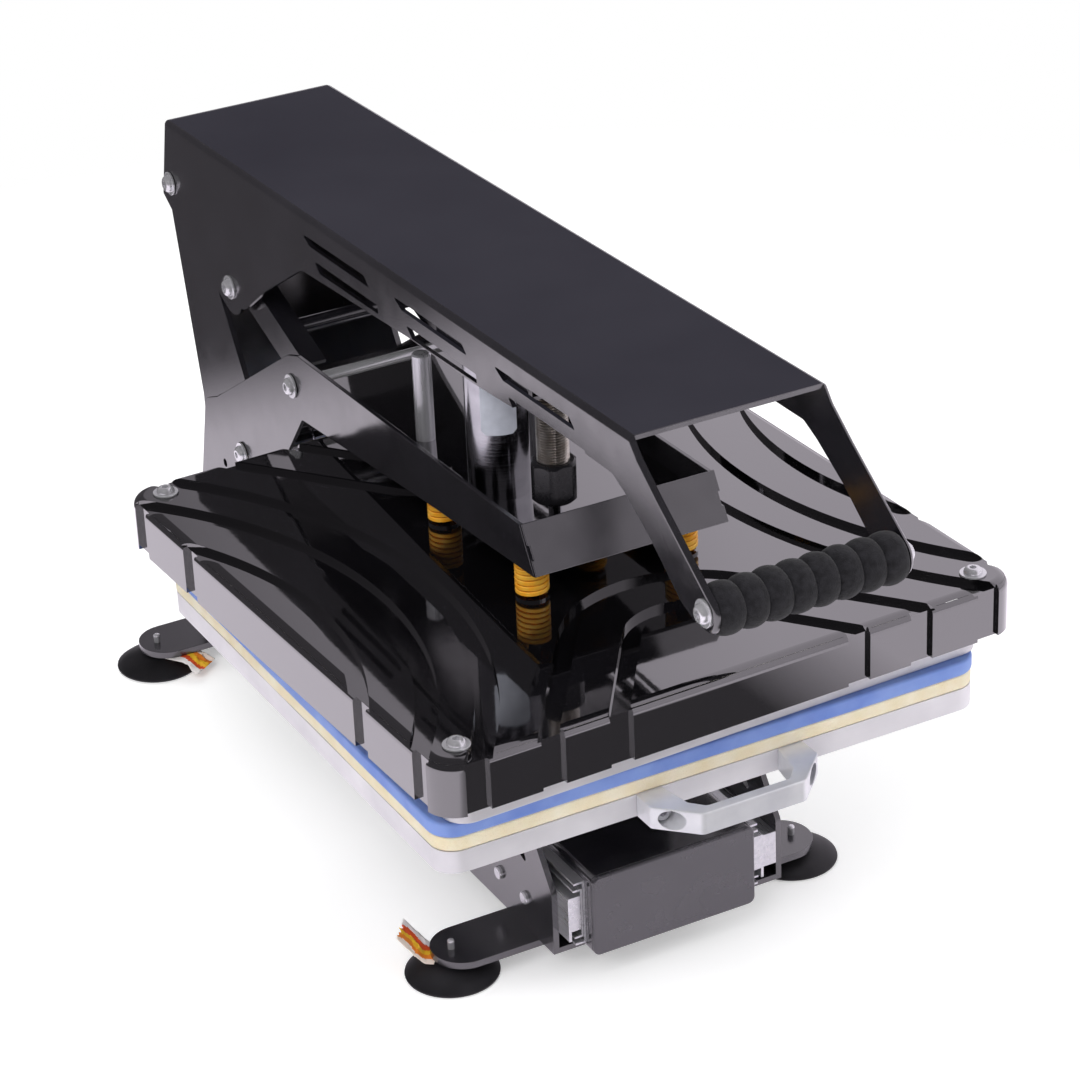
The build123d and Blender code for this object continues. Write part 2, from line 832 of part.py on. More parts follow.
def magnet_bracket():
    """Cross plate with side flanges that hangs the magnet and the damper in the lever."""
    outline_low = bracket_level
    plate = box_between(
        -lever_inner, lever_inner, bracket_front_y, bracket_rear_y,
        outline_low, outline_low + bracket_sheet,
    )
    flange = box_between(
        lever_inner - bracket_sheet, lever_inner, bracket_front_y, bracket_rear_y,
        outline_low, outline_low + 14,
    )
    bracket = plate + pair(flange)[0] + pair(flange)[1]
    bracket -= upright(
        damper_radius + screw_gap, damper_x, damper_y, outline_low - 1, outline_low + bracket_sheet + 1
    )
    return bracket - upright(
        4 + screw_gap, magnet_x, magnet_y, outline_low - 1, outline_low + bracket_sheet + 1
    )


def holding_magnet():
    """Electromagnet under the bracket, with its fixing stud and nut."""
    body = upright(magnet_radius, magnet_x, magnet_y, magnet_seam, bracket_level)
    body = fillet(body.edges().sort_by(Axis.Z)[-1], 2)
    stud = upright(4, magnet_x, magnet_y, bracket_level - 1, bracket_level + bracket_sheet + 6)
    nut_low = bracket_level + bracket_sheet
    nut = Pos(magnet_x, magnet_y, nut_low) * extrude(RegularPolygon(7.5, 6), 5)
    return body + stud + nut


def damper_body():
    """Threaded barrel through the bracket, with its lock nut above and its bore below."""
    low = damper_nut_bottom + 3
    high = bracket_level + bracket_sheet + 9
    ridges = int((high - low) / damper_pitch)
    profile = [(0, low)]
    for ridge in range(ridges):
        z = low + ridge * damper_pitch
        profile.append((damper_radius - damper_thread, z))
        profile.append((damper_radius, z + damper_pitch / 2))
    profile.append((damper_radius - damper_thread, low + ridges * damper_pitch))
    profile.append((0, low + ridges * damper_pitch))
    barrel = revolve(Plane.XZ * make_face(Polyline(*profile, close=True)), Axis.Z)
    barrel -= upright(damper_rod_radius + running_fit, 0, 0, low - 1, low + 40)
    lock_low = bracket_level + bracket_sheet
    lock = Pos(0, 0, lock_low) * extrude(RegularPolygon(15, 6), 6)
    return Pos(damper_x, damper_y, 0) * (barrel + lock)


def damper_nut():
    """Black hexagon nut with rounded corners on the lower end of the damper."""
    height = damper_nut_top - damper_nut_bottom
    nut = extrude(RegularPolygon(damper_nut_radius + 1.2, 6), height)
    core = Cylinder(damper_nut_radius, height, align=(Align.CENTER, Align.CENTER, Align.MIN))
    nut &= chamfer(core.edges().group_by(Axis.Z)[-1] + core.edges().group_by(Axis.Z)[0], 2)
    nut -= upright(damper_radius + running_fit, 0, 0, 3, height + 1)
    nut -= upright(damper_rod_radius + soft_gap, 0, 0, -1, 4)
    return Pos(damper_x, damper_y, damper_nut_bottom) * nut


def damper_rod():
    """Plunger that meets the web when the press is shut."""
    tip = web_top(damper_y - damper_rod_radius) + side_gap
    rod = upright(damper_rod_radius, damper_x, damper_y, tip, damper_nut_bottom + 25)
    return fillet(rod.edges().sort_by(Axis.Z)[0], 1)


def link_pin():
    """Right bolt through the lever where the link comes up to it."""
    return button_bolt(pivot_radius, lever_inner, lever_half, link_top_y, link_top_z)


# Links
def link_frame():
    """Two link plates with folded edges, spacers and a cross tube, welded into one."""
    length = math.dist((link_low_y, link_low_z), (link_top_y, link_top_z))
    tilt = math.degrees(math.atan2(link_top_z - link_low_z, link_top_y - link_low_y))
    half_width = 12.5
    blade = extrude(SlotOverall(length + 2 * half_width, 2 * half_width), link_sheet)
    blade = Pos(length / 2, 0, 0) * blade
    fold = Pos(length / 2, half_width - link_sheet / 2, -6) * Box(length - 10, link_sheet, 12)
    low_spacer = extrude(Circle(8.5), arm_inner - side_gap - link_inner)
    top_spacer = Pos(length, 0, 0) * extrude(Circle(8), lever_inner - side_gap - link_inner)
    plate = blade + fold + low_spacer + top_spacer
    hole = Pos(0, 0, -2) * extrude(Circle(link_shaft_radius + 1.5), 20)
    plate -= hole
    tube = Pos(length / 2, 0, -link_inner) * extrude(Circle(6), link_inner)
    start = Plane(
        origin=(link_inner, link_low_y, link_low_z),
        x_dir=(0, math.cos(math.radians(tilt)), math.sin(math.radians(tilt))),
        z_dir=(1, 0, 0),
    )
    half_frame = start * (plate + tube)
    return half_frame + mirror(half_frame, about=Plane.YZ)


def link_bush():
    """Right bush between the link and its shaft."""
    low = link_inner
    high = arm_inner - side_gap
    bush = side_rod(link_shaft_radius + 1.5, low, high, link_low_y, link_low_z)
    return bush - side_rod(link_shaft_radius + running_fit, low - 1, high + 1, link_low_y, link_low_z)


# Heating head
def turned(shape):
    """The head hangs turned a little on its springs."""
    return Rot(0, 0, platen_turn) * shape


def ring_grooves(extra, depth_level):
    """Curved grooves about a point beyond each side of the cover."""
    rings = None
    for radius, width in zip(side_groove_radii, side_groove_widths):
        outer = upright(radius + extra, side_groove_centre, 0, depth_level, cover_top + 1)
        inner = upright(radius - width - extra, side_groove_centre, 0, depth_level, cover_top + 1)
        ring = outer - inner
        rings = ring if rings is None else rings + ring
    return pair(rings)


def arch_face(radius):
    """Arch outline with a round top and two legs that spread to the cover's front."""
    lean = math.radians(arch_leg_angle)
    touch_x = radius * math.sin(lean)
    touch_y = -arch_centre_y + radius * math.cos(lean)
    end_y = -cover_half_y - 20
    end_x = touch_x + (touch_y - end_y) / math.tan(lean)
    outline = ThreePointArc(
        (-touch_x, touch_y), (0, radius - arch_centre_y), (touch_x, touch_y)
    )
    outline += Polyline((touch_x, touch_y), (end_x, end_y), (-end_x, end_y), (-touch_x, touch_y))
    return make_face(outline)


def arch_grooves(extra, depth_level):
    """Arched grooves at the front of the cover and their mirror copies at the rear."""
    tools = []
    for radius in arch_radii:
        band = arch_face(radius + extra) - arch_face(radius - arch_groove_width - extra)
        tool = extrude(Pos(0, 0, depth_level) * band, cover_top + 1 - depth_level, dir=(0, 0, 1))
        tools += [tool, mirror(tool, about=Plane.XZ)]
    return tools


def wall_grooves(extra):
    """Upright grooves where the curved grooves run down the cover's walls."""
    tools = []
    half = wall_groove_width / 2 + extra
    depth = wall_groove_depth + extra
    for x in wall_grooves_x:
        for sign_x in (-1, 1):
            for sign_y in (-1, 1):
                centre = Pos(sign_x * x, sign_y * cover_half_y, cover_bottom + cover_height / 2)
                tools.append(centre * Box(2 * half, 2 * depth, 2 * cover_height))
    for y in wall_grooves_y:
        for sign_x in (-1, 1):
            for sign_y in (-1, 1):
                centre = Pos(sign_x * cover_half_x, sign_y * y, cover_bottom + cover_height / 2)
                tools.append(centre * Box(2 * depth, 2 * half, 2 * cover_height))
    return tools


def heat_cover():
    """Pressed cover: rounded box, curved and arched grooves, open below."""
    shell = slab(cover_half_x, cover_half_y, cover_bottom, cover_top, cover_corner)
    shell = fillet(shell.edges().group_by(Axis.Z)[-1], cover_edge_round)
    groove_level = cover_top - groove_depth
    for tool in ring_grooves(0, groove_level) + arch_grooves(0, groove_level) + wall_grooves(0):
        shell -= tool
    hollow = slab(
        cover_half_x - cover_sheet,
        cover_half_y - cover_sheet,
        cover_bottom - 1,
        cover_top - cover_sheet,
        cover_corner - cover_sheet,
    )
    under = groove_level - cover_sheet
    for tool in (
        ring_grooves(cover_sheet, under) + arch_grooves(cover_sheet, under)
        + wall_grooves(cover_sheet)
    ):
        hollow -= tool
    shell -= hollow
    for x, y in cover_screw_places():
        shell -= upright(post_plug + screw_gap, x, y, cover_bottom, cover_top + 1)
    shell = turned(shell)
    for x, y in hanger_places():
        shell -= upright(hanger_radius + 1.5, x, y, cover_bottom, cover_top + 1)
    gland_hole = Plane(origin=(gland_x, 0, gland_z), z_dir=(0, 1, 0)) * extrude(
        Circle(8 + screw_gap), cover_half_y + 20
    )
    return shell - turned(gland_hole)


def cover_screw_places():
    """Corner screws of the cover, before the head is turned."""
    x = cover_half_x - cover_screw_inset_x
    y = cover_half_y - cover_screw_inset_y
    return [(sx * x, sy * y) for sx in (-1, 1) for sy in (-1, 1)]


def hanger_places():
    """The four hangers, which stay in line with the arm."""
    return [(sx * hanger_x, y) for sx in (-1, 1) for y in hanger_y]


def cover_screw(x, y):
    """A button screw with its washer on the cover's corner."""
    washer = upright(8.5, x, y, cover_top, cover_top + 1.2)
    head = upright(6, x, y, cover_top + 1.2, cover_top + 4.6)
    head = fillet(head.edges().sort_by(Axis.Z)[-1], 2)
    head -= upright(2.2, x, y, cover_top + 2.4, cover_top + 5)
    shank = upright(post_plug, x, y, cover_top - 20, cover_top + 1.2)
    return washer + head + shank


def corner_post(x, y):
    """A post on the platen's corner that the cover's screw goes into."""
    post_top = cover_top - groove_depth - cover_sheet - side_gap
    post = upright(post_radius, x, y, platen_top, post_top)
    return post - upright(post_plug + screw_gap, x, y, cover_top - 21, post_top + 1)


def heating_element():
    """Tubular element that runs to and fro across the platen."""
    step = 2 * element_span / (element_runs - 1)
    points = []
    for run in range(element_runs):
        x = -element_span + run * step
        ends = (-element_length, element_length) if run % 2 == 0 else (element_length, -element_length)
        points += [(x, end) for end in ends]
    path = Pos(0, 0, platen_top + element_radius) * FilletPolyline(*points, radius=step / 2 - 0.2)
    section = Plane(origin=path @ 0, z_dir=path % 0) * Circle(element_radius)
    return sweep(section, path)


def insulation_blanket():
    """Mat over the element, with holes for the hangers."""
    low = platen_top + 2 * element_radius + soft_gap
    half_x = plate_width / 2 - blanket_inset
    half_y = plate_length / 2 - blanket_inset
    mat = turned(slab(half_x, half_y, low, low + blanket_thickness, 10))
    for x, y in hanger_places():
        mat -= upright(hanger_radius + 2, x, y, low - 1, low + blanket_thickness + 1)
    return mat


def thermostat_probe():
    """Sensor block on the platen, between two runs of the element."""
    block = box_between(-12, 12, 90, 110, platen_top, platen_top + probe_height)
    return turned(fillet(block.edges().filter_by(Axis.Z), 3))


def hanger_stud(x, y):
    """Stud from the platen to its flat head on the web, with the collar that seats the spring."""
    head_low = web_top(y - hanger_head_radius) + soft_gap
    stud = upright(hanger_radius, x, y, platen_top, head_low)
    collar = upright(collar_radius, x, y, cover_top, cover_top + collar_height)
    head = upright(hanger_head_radius, x, y, head_low, head_low + hanger_head_height)
    return stud + collar + head


def spring_path(radius, low, high, turns):
    """Helix of quarter turns, each made of two arcs that meet smoothly."""
    rise = (high - low) / (4 * turns)
    slope = rise / (radius * math.pi / 2)
    def place(quarter):
        angle = quarter * math.pi / 2
        return Vector(radius * math.cos(angle), radius * math.sin(angle), low + quarter * rise)
    def heading(quarter):
        angle = quarter * math.pi / 2
        return Vector(-math.sin(angle), math.cos(angle), slope).normalized()
    edges = []
    for quarter in range(4 * turns):
        start, end = place(quarter), place(quarter + 1)
        first, last = heading(quarter), heading(quarter + 1)
        chord, both = end - start, first + last
        a = both.dot(both) - 4
        b = -2 * chord.dot(both)
        c = chord.dot(chord)
        reach = (-b - math.sqrt(b * b - 4 * a * c)) / (2 * a)
        if reach < 0:
            reach = (-b + math.sqrt(b * b - 4 * a * c)) / (2 * a)
        meet = (start + first * reach + end - last * reach) * 0.5
        edges.append(TangentArc(start, meet, tangent=first))
        edges.append(TangentArc(meet, end, tangent=(meet - start - first * reach).normalized()))
    return Wire([edge.edge() for edge in edges])


def hanger_spring(x, y):
    """Yellow die spring between the stud's collar and the underside of the web."""
    low = cover_top + collar_height + spring_wire + soft_gap
    high = web_top(y + spring_radius) - web_sheet - spring_wire - soft_gap
    path = spring_path(spring_radius, low, high, spring_turns)
    section = Plane(origin=path @ 0, z_dir=path % 0) * Circle(spring_wire)
    return Pos(x, y, 0) * sweep(section, path)


def cable_gland():
    """Gland on the rear wall of the cover."""
    start = cover_half_y - cover_sheet - 4
    plug = Plane(origin=(gland_x, start, gland_z), z_dir=(0, 1, 0)) * extrude(Circle(8), 10)
    cap = Plane(origin=(gland_x, cover_half_y, gland_z), z_dir=(0, 1, 0)) * extrude(
        RegularPolygon(11, 6), 10
    )
    bore = Plane(origin=(gland_x, start, gland_z), z_dir=(0, 1, 0)) * extrude(Circle(3.5), 30)
    return turned(plug + cap - bore)


# Drawer
def pull_handle():
    """Cast handle on the front of the lower plate, with a deep bore for each of its screws."""
    root = -plate_length / 2
    front = root - handle_depth
    outer = [
        (-handle_half, root),
        (-handle_half, front + handle_corner),
        (-handle_bar_half, front),
        (handle_bar_half, front),
        (handle_half, front + handle_corner),
        (handle_half, root),
    ]
    bar_inner = front + handle_bar
    inner = [
        (-handle_gap_half - 1, root + 1),
        (-handle_gap_half + 3, bar_inner + 9),
        (-handle_bar_half + 7, bar_inner),
        (handle_bar_half - 7, bar_inner),
        (handle_gap_half - 3, bar_inner + 9),
        (handle_gap_half + 1, root + 1),
    ]
    body = extrude(
        Pos(0, 0, plate_bottom)
        * make_face(FilletPolyline(*outer, radius=[0, 3, 6, 6, 3, 0], close=True)),
        plate_thickness,
        dir=(0, 0, 1),
    )
    body -= extrude(
        Pos(0, 0, plate_bottom - 1)
        * make_face(FilletPolyline(*inner, radius=[0, 4, 4, 4, 4, 0], close=True)),
        plate_thickness + 2,
        dir=(0, 0, 1),
    )
    body = fillet(body.edges().group_by(Axis.Z)[-1].filter_by(lambda e: e.center().Y < root - 1), 1)
    for side in (-1, 1):
        body -= handle_bar_tool(side, handle_bore_radius, front - 1, root - handle_screw_head * 2)
        body -= handle_bar_tool(side, handle_screw_radius + screw_gap, front, root + 1)
    return body


def handle_bar_tool(side, radius, y_low, y_high):
    """Round bar along the axis of a handle screw."""
    middle_z = plate_bottom + plate_thickness / 2
    start = Plane(origin=(side * handle_bore_x, y_low, middle_z), z_dir=(0, 1, 0))
    return start * extrude(Circle(radius), y_high - y_low)


def handle_screw(side):
    """Socket screw from the bottom of its bore into the lower plate."""
    root = -plate_length / 2
    seat = root - handle_screw_head * 2
    head = handle_bar_tool(side, handle_screw_head, seat - 6, seat)
    socket = handle_bar_tool(side, handle_screw_head / 2, seat - 7, seat - 3)
    return head - socket + handle_bar_tool(side, handle_screw_radius, seat, root + 22)


def lower_plate():
    """Thick lower plate of the drawer."""
    plate = slab(plate_width / 2, plate_length / 2, plate_bottom, foam_bottom, plate_corner)
    root = -plate_length / 2
    for side in (-1, 1):
        plate -= handle_bar_tool(side, handle_screw_radius + screw_gap, root - 1, root + 22)
    return plate


def carriage_bracket():
    """Rectangular tube that carries the lower plate on the control box."""
    outer = box_between(
        -bracket_half, bracket_half, carriage_front_y, carriage_rear_y, box_top, plate_bottom
    )
    inner = box_between(
        -bracket_half + carriage_sheet,
        bracket_half - carriage_sheet,
        carriage_front_y - 1,
        carriage_rear_y + 1,
        box_top + carriage_sheet,
        plate_bottom - carriage_sheet,
    )
    return outer - inner


def box_section(inset, y_low, y_high):
    """Rounded section of the control box, drawn in by an inset."""
    half_x = box_half - inset
    middle_z = (box_bottom + box_top) / 2
    height = box_top - box_bottom - 2 * inset
    outline = RectangleRounded(2 * half_x, height, max(box_corner - inset, 0.5))
    plane = Plane(origin=(0, y_low, middle_z), x_dir=(1, 0, 0), z_dir=(0, -1, 0))
    return extrude(plane * outline, y_high - y_low, dir=(0, 1, 0))


def control_box():
    """Sleeve of the control box, open at both ends for its panels."""
    low = box_front_y + box_panel
    high = box_rear_y - box_panel
    return box_section(0, low, high) - box_section(box_wall, low - 1, high + 1)


def box_front_panel():
    """Blank front panel of the control box."""
    panel = box_section(0, box_front_y, box_front_y + box_panel)
    return fillet(panel.edges().group_by(Axis.Y)[0], 1.5)


def box_rear_panel():
    """Rear panel with openings for the inlet and the switch."""
    panel = box_section(0, box_rear_y - box_panel, box_rear_y)
    middle_z = (box_bottom + box_top) / 2
    for x, half_x, half_z in ((inlet_x(), 14, 11), (-inlet_x(), 10.5, 7)):
        panel -= box_between(
            x - half_x, x + half_x, box_rear_y - 10, box_rear_y + 5, middle_z - half_z, middle_z + half_z
        )
    return panel


def inlet_x():
    """Sideways place of the power inlet. The switch is as far on the other side."""
    return 25.0


def power_inlet():
    """Three-pin power inlet with its flange on the rear panel."""
    x = inlet_x()
    middle_z = (box_bottom + box_top) / 2
    body = box_between(x - 13.7, x + 13.7, box_rear_y - 22, box_rear_y, middle_z - 10.7, middle_z + 10.7)
    flange = box_between(x - 20, x + 20, box_rear_y, box_rear_y + 2.5, middle_z - 14, middle_z + 14)
    cavity = box_between(
        x - 11.5, x + 11.5, box_rear_y - 14, box_rear_y + 3, middle_z - 8.5, middle_z + 8.5
    )
    inlet = body + flange - cavity
    for pin_x, pin_z in ((-7, -2), (7, -2), (0, 4)):
        inlet += box_between(
            x + pin_x - 1, x + pin_x + 1, box_rear_y - 15, box_rear_y - 2,
            middle_z + pin_z - 2, middle_z + pin_z + 2,
        )
    return inlet


def rocker_switch():
    """Power rocker that tips on its pivot in the rear panel."""
    middle_z = (box_bottom + box_top) / 2
    face = box_rear_y
    outline = [
        (face - 8, middle_z - 4),
        (face + 1.0, middle_z - 6),
        (face + 2.2, middle_z),
        (face + 3.6, middle_z + 6),
        (face - 8, middle_z + 4),
    ]
    return side_sheet(outline, -inlet_x() - 9.8, -inlet_x() + 9.8, radii=[1, 1, 4, 1, 1])


def control_board():
    """Circuit board on its standoffs over the floor of the control box."""
    floor_z = box_bottom + box_wall
    board = box_between(-45, 45, box_front_y + 20, box_front_y + 110, floor_z + 6, floor_z + 7.6)
    for x in (-40, 40):
        for y in (box_front_y + 25, box_front_y + 105):
            board += upright(3, x, y, floor_z, floor_z + 6)
    board += box_between(-20, 0, box_front_y + 50, box_front_y + 70, floor_z + 7.6, floor_z + 20)
    return board


def power_supply():
    """Switching block for the heater, on the floor of the control box."""
    floor_z = box_bottom + box_wall
    block = box_between(-40, 40, 5, 65, floor_z, floor_z + 30)
    return chamfer(block.edges().filter_by(Axis.Z), 4)


# Gas struts
def strut_frame():
    """Plane at the right strut's lower pivot with its axis up the strut."""
    return Plane(
        origin=(strut_x, strut_low_y, strut_low_z),
        x_dir=(1, 0, 0),
        z_dir=(0, strut_high_y - strut_low_y, strut_high_z - strut_low_z),
    )


def strut_cylinder():
    """Right strut's cylinder, from its eye on the base pin to its gland end."""
    barrel = Pos(0, 0, 7) * extrude(Circle(strut_radius), strut_cylinder_end - 7)
    eye = Plane(origin=(-5, 0, 0), z_dir=(1, 0, 0)) * extrude(Circle(strut_radius), 10)
    strut = barrel + eye
    strut -= Plane(origin=(-12, 0, 0), z_dir=(1, 0, 0)) * extrude(
        Circle(strut_pin_radius + running_fit), 24
    )
    strut -= Pos(0, 0, strut_rod_start - 1) * extrude(
        Circle(strut_rod_radius + running_fit), strut_cylinder_end
    )
    return strut_frame() * strut


def strut_rod():
    """Right strut's bright rod, its eye and the pin held in the eye."""
    length = math.dist((strut_low_y, strut_low_z), (strut_high_y, strut_high_z))
    rod = Pos(0, 0, strut_rod_start) * extrude(Circle(strut_rod_radius), length - strut_rod_start)
    eye = Plane(origin=(-5, 0, length), z_dir=(1, 0, 0)) * extrude(Circle(strut_pin_radius + 3), 10)
    pin = Plane(origin=(-6.5, 0, length), z_dir=(1, 0, 0)) * extrude(
        Circle(strut_pin_radius), 13 - side_gap
    )
    return strut_frame() * (rod + eye + pin)


# Save every node
save("base_side_plates", *base_side_plates())
save("foot_bars", *[foot_bar(y) for y in foot_bar_y])
save("suction_cups", *[suction_cup(s * foot_bolt_x, y) for s in (-1, 1) for y in foot_bar_y])
save("foot_bolts", *[foot_bolt(s * foot_bolt_x, y) for s in (-1, 1) for y in foot_bar_y])
save("foot_tags", foot_tag(foot_bar_y[0], 142, 15, 15, 17), foot_tag(foot_bar_y[1], -55, 28, 12, -8))
save("bar_screws", *[bar_screw(x, y) for x, y in bar_screw_places()])
save("rear_base_pan", rear_base_pan())
save("pillar_plates", pillar())
save(
    "pillar_bolts",
    *[mirror(pillar_bolt(y, 0), about=Plane.YZ) for y in pillar_bolt_y],
    *[pillar_bolt(y, right_step) for y in pillar_bolt_y],
)
save("arm_pivot_shaft", arm_pivot_shaft())
save("lever_pivot_bolts", *pair(lever_pivot_bolt()))
save("strut_lower_pin", side_rod(strut_pin_radius, -pillar_half, pillar_half, strut_low_y, strut_low_z))
save("slide_outer_rails", *pair(outer_rail()))
save("slide_middle_rails", *pair(middle_rail()))
save("slide_inner_rails", *pair(inner_rail()), slide_spacer())
save(
    "slide_screws",
    *[mirror(slide_screw(y, 0), about=Plane.YZ) for y in slide_screw_y],
    *[slide_screw(y, right_step) for y in slide_screw_y],
)

save("arm_side_plates", *pair(arm_side_plate()))
save("arm_bushes", *pair(arm_bush()))
save("arm_web", arm_web())
save("arm_front_plate", arm_front_plate())
save("link_shaft", link_shaft())
save("stop_posts", *pair(stop_post()))
save("magnet_armature", magnet_armature())

save("lever_channel", lever_channel())
save("grip_tube", grip_tube())
save("foam_grip", foam_grip())
save("grip_bolts", *pair(button_bolt(4, lever_inner - 15, lever_half, grip_y, grip_z)))
save("magnet_bracket", magnet_bracket())
save("holding_magnet", holding_magnet())
save("damper_body", damper_body())
save("damper_nut", damper_nut())
save("damper_rod", damper_rod())
save("link_pins", *pair(link_pin()))
save("link_frame", link_frame())
save("link_bushes", *pair(link_bush()))

save("heat_cover", heat_cover())
save("cover_screws", *[turned(cover_screw(x, y)) for x, y in cover_screw_places()])
save("corner_posts", *[turned(corner_post(x, y)) for x, y in cover_screw_places()])
save("hot_platen", turned(slab(plate_width / 2, plate_length / 2, platen_bottom, platen_top, plate_corner)))
save("heating_element", turned(heating_element()))
save("insulation_blanket", insulation_blanket())
save("thermostat_probe", thermostat_probe())
save("hanger_studs", *[hanger_stud(x, y) for x, y in hanger_places()])
save("hanger_springs", *[hanger_spring(x, y) for x, y in hanger_places()])
save("cable_gland", cable_gland())

foam_half = (plate_width / 2 + foam_overlap, plate_length / 2 + foam_overlap)
silicone_half = (plate_width / 2 + silicone_overlap, plate_length / 2 + silicone_overlap)
save("lower_plate", lower_plate())
save("foam_pad", slab(*foam_half, foam_bottom, silicone_bottom, plate_corner + foam_overlap))
save(
    "silicone_pad",
    slab(*silicone_half, silicone_bottom, platen_bottom - soft_gap, plate_corner + silicone_overlap),
)
save("pull_handle", pull_handle())
save("handle_screws", *[handle_screw(side) for side in (-1, 1)])
save("carriage_bracket", carriage_bracket())
save("control_box", control_box())
save("box_front_panel", box_front_panel())
save("box_rear_panel", box_rear_panel())
save("control_board", control_board())
save("power_supply", power_supply())
save("power_inlet", power_inlet())
save("rocker_switch", rocker_switch())
save("strut_cylinders", *pair(strut_cylinder()))
save("strut_rods", *pair(strut_rod()))
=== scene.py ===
# %% [markdown]
# # A clothing heat press
# This lesson dresses a press whose working parts were made in CAD. The first step loads that
# model as a fixed frame. Everything made later is placed from the frame's own sizes, in metres,
# so a new piece meets what carries it from every side and at every pose.

# %% Load the frame
import bmesh
import bpy
import json
import math
from mathutils import Matrix, Vector, noise

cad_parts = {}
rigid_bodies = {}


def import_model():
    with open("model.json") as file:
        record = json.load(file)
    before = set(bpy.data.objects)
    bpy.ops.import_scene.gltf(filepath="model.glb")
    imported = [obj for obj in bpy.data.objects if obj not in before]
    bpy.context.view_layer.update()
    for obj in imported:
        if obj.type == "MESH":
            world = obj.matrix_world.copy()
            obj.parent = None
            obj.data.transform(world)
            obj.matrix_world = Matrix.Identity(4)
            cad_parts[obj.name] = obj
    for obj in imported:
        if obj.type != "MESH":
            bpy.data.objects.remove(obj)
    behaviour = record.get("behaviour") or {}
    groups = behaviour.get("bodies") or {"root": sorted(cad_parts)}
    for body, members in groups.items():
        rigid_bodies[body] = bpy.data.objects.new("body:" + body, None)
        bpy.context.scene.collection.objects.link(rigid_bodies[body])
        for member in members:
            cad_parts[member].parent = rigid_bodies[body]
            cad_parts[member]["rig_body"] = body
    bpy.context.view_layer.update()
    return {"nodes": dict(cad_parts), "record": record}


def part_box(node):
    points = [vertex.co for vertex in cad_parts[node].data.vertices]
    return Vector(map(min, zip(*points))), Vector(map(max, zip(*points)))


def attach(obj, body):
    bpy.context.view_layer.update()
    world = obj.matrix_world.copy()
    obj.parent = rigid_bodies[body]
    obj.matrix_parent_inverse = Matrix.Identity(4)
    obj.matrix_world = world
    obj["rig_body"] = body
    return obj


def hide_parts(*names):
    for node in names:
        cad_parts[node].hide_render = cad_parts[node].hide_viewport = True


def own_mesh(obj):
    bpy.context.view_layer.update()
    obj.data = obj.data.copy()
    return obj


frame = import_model()
plate_low, plate_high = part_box("lower_plate")
plate_middle = (plate_low + plate_high) / 2

# %% [markdown]
# ## The camera
# A product photograph like this one is taken from some way off with a long lens, so parallel
# edges stay nearly parallel. The camera is set by its place, its heading, its height over the
# table and a small tilt to one side. A turn matrix from the three axes is clearer here than
# three angles, because the tilt is about the line of sight.

# %% Camera
camera_place = Vector((-0.9486, -1.8753, 1.3012))
camera_heading = math.radians(27.49)
camera_drop = math.radians(27.48)
camera_tilt = math.radians(-2.49)
camera_lens = 119.2

sight = Vector((
    math.sin(camera_heading) * math.cos(camera_drop),
    math.cos(camera_heading) * math.cos(camera_drop),
    -math.sin(camera_drop),
))
level_side = Vector((math.cos(camera_heading), -math.sin(camera_heading), 0))
level_up = level_side.cross(sight)
side = level_side * math.cos(camera_tilt) + level_up * math.sin(camera_tilt)
up = level_up * math.cos(camera_tilt) - level_side * math.sin(camera_tilt)

lens = bpy.data.cameras.new("studio_camera")
lens.lens = camera_lens
camera = bpy.data.objects.new("studio_camera", lens)
bpy.context.scene.collection.objects.link(camera)
camera_axes = Matrix((side, up, -sight)).transposed().to_4x4()
camera.matrix_world = Matrix.Translation(camera_place) @ camera_axes
bpy.context.scene.camera = camera
print("camera", camera_place, "lens", camera_lens)

# %% [markdown]
# ## Helpers for shader nodes
# A material or a world is a tree of nodes joined by links. These helpers make a node, set its
# sockets and link it, each in one line. Two of them use the Light Path node, which tells what
# kind of ray has arrived, so that a surface may look one way to the camera and another way in a
# reflection.

# %% Shader nodes
def node(tree, kind, **values):
    """A new shader node with some of its sockets set."""
    made = tree.nodes.new("ShaderNode" + kind)
    for name, value in values.items():
        made.inputs[name.replace("_", " ")].default_value = value
    return made


def linked(tree, kind, socket, source, **values):
    """A new shader node fed by another node's output."""
    made = node(tree, kind, **values)
    tree.links.new(source, made.inputs[socket])
    return made


def combined(tree, operation, first, second):
    """Two outputs brought together by one Math node."""
    made = node(tree, "Math")
    made.operation = operation
    tree.links.new(first, made.inputs[0])
    tree.links.new(second, made.inputs[1])
    return made.outputs[0]


def ramp(tree, source, start, end):
    """Zero at the start value of an output and one at the end value."""
    made = linked(tree, "MapRange", "Value", source, From_Min=start, From_Max=end)
    return made.outputs["Result"]


def seen_directly(tree):
    """One for rays straight from the camera or through glass, otherwise zero."""
    path = node(tree, "LightPath")
    return combined(tree, "MAXIMUM", path.outputs["Is Camera Ray"],
                    path.outputs["Is Transmission Ray"])


def seen_in_shine(tree):
    """One for rays off a shiny surface, otherwise zero."""
    return node(tree, "LightPath").outputs["Is Glossy Ray"]


print("helpers", node.__name__, linked.__name__, combined.__name__, ramp.__name__)

# %% [markdown]
# ## The room
# Black enamel has almost no colour of its own: what it shows is the room. The camera sees plain
# white, and soft light comes from all round. In reflections only the right side of the room is
# white, with a trace of lilac. Overhead and to the left it is dark, as in a studio with one
# large white screen.

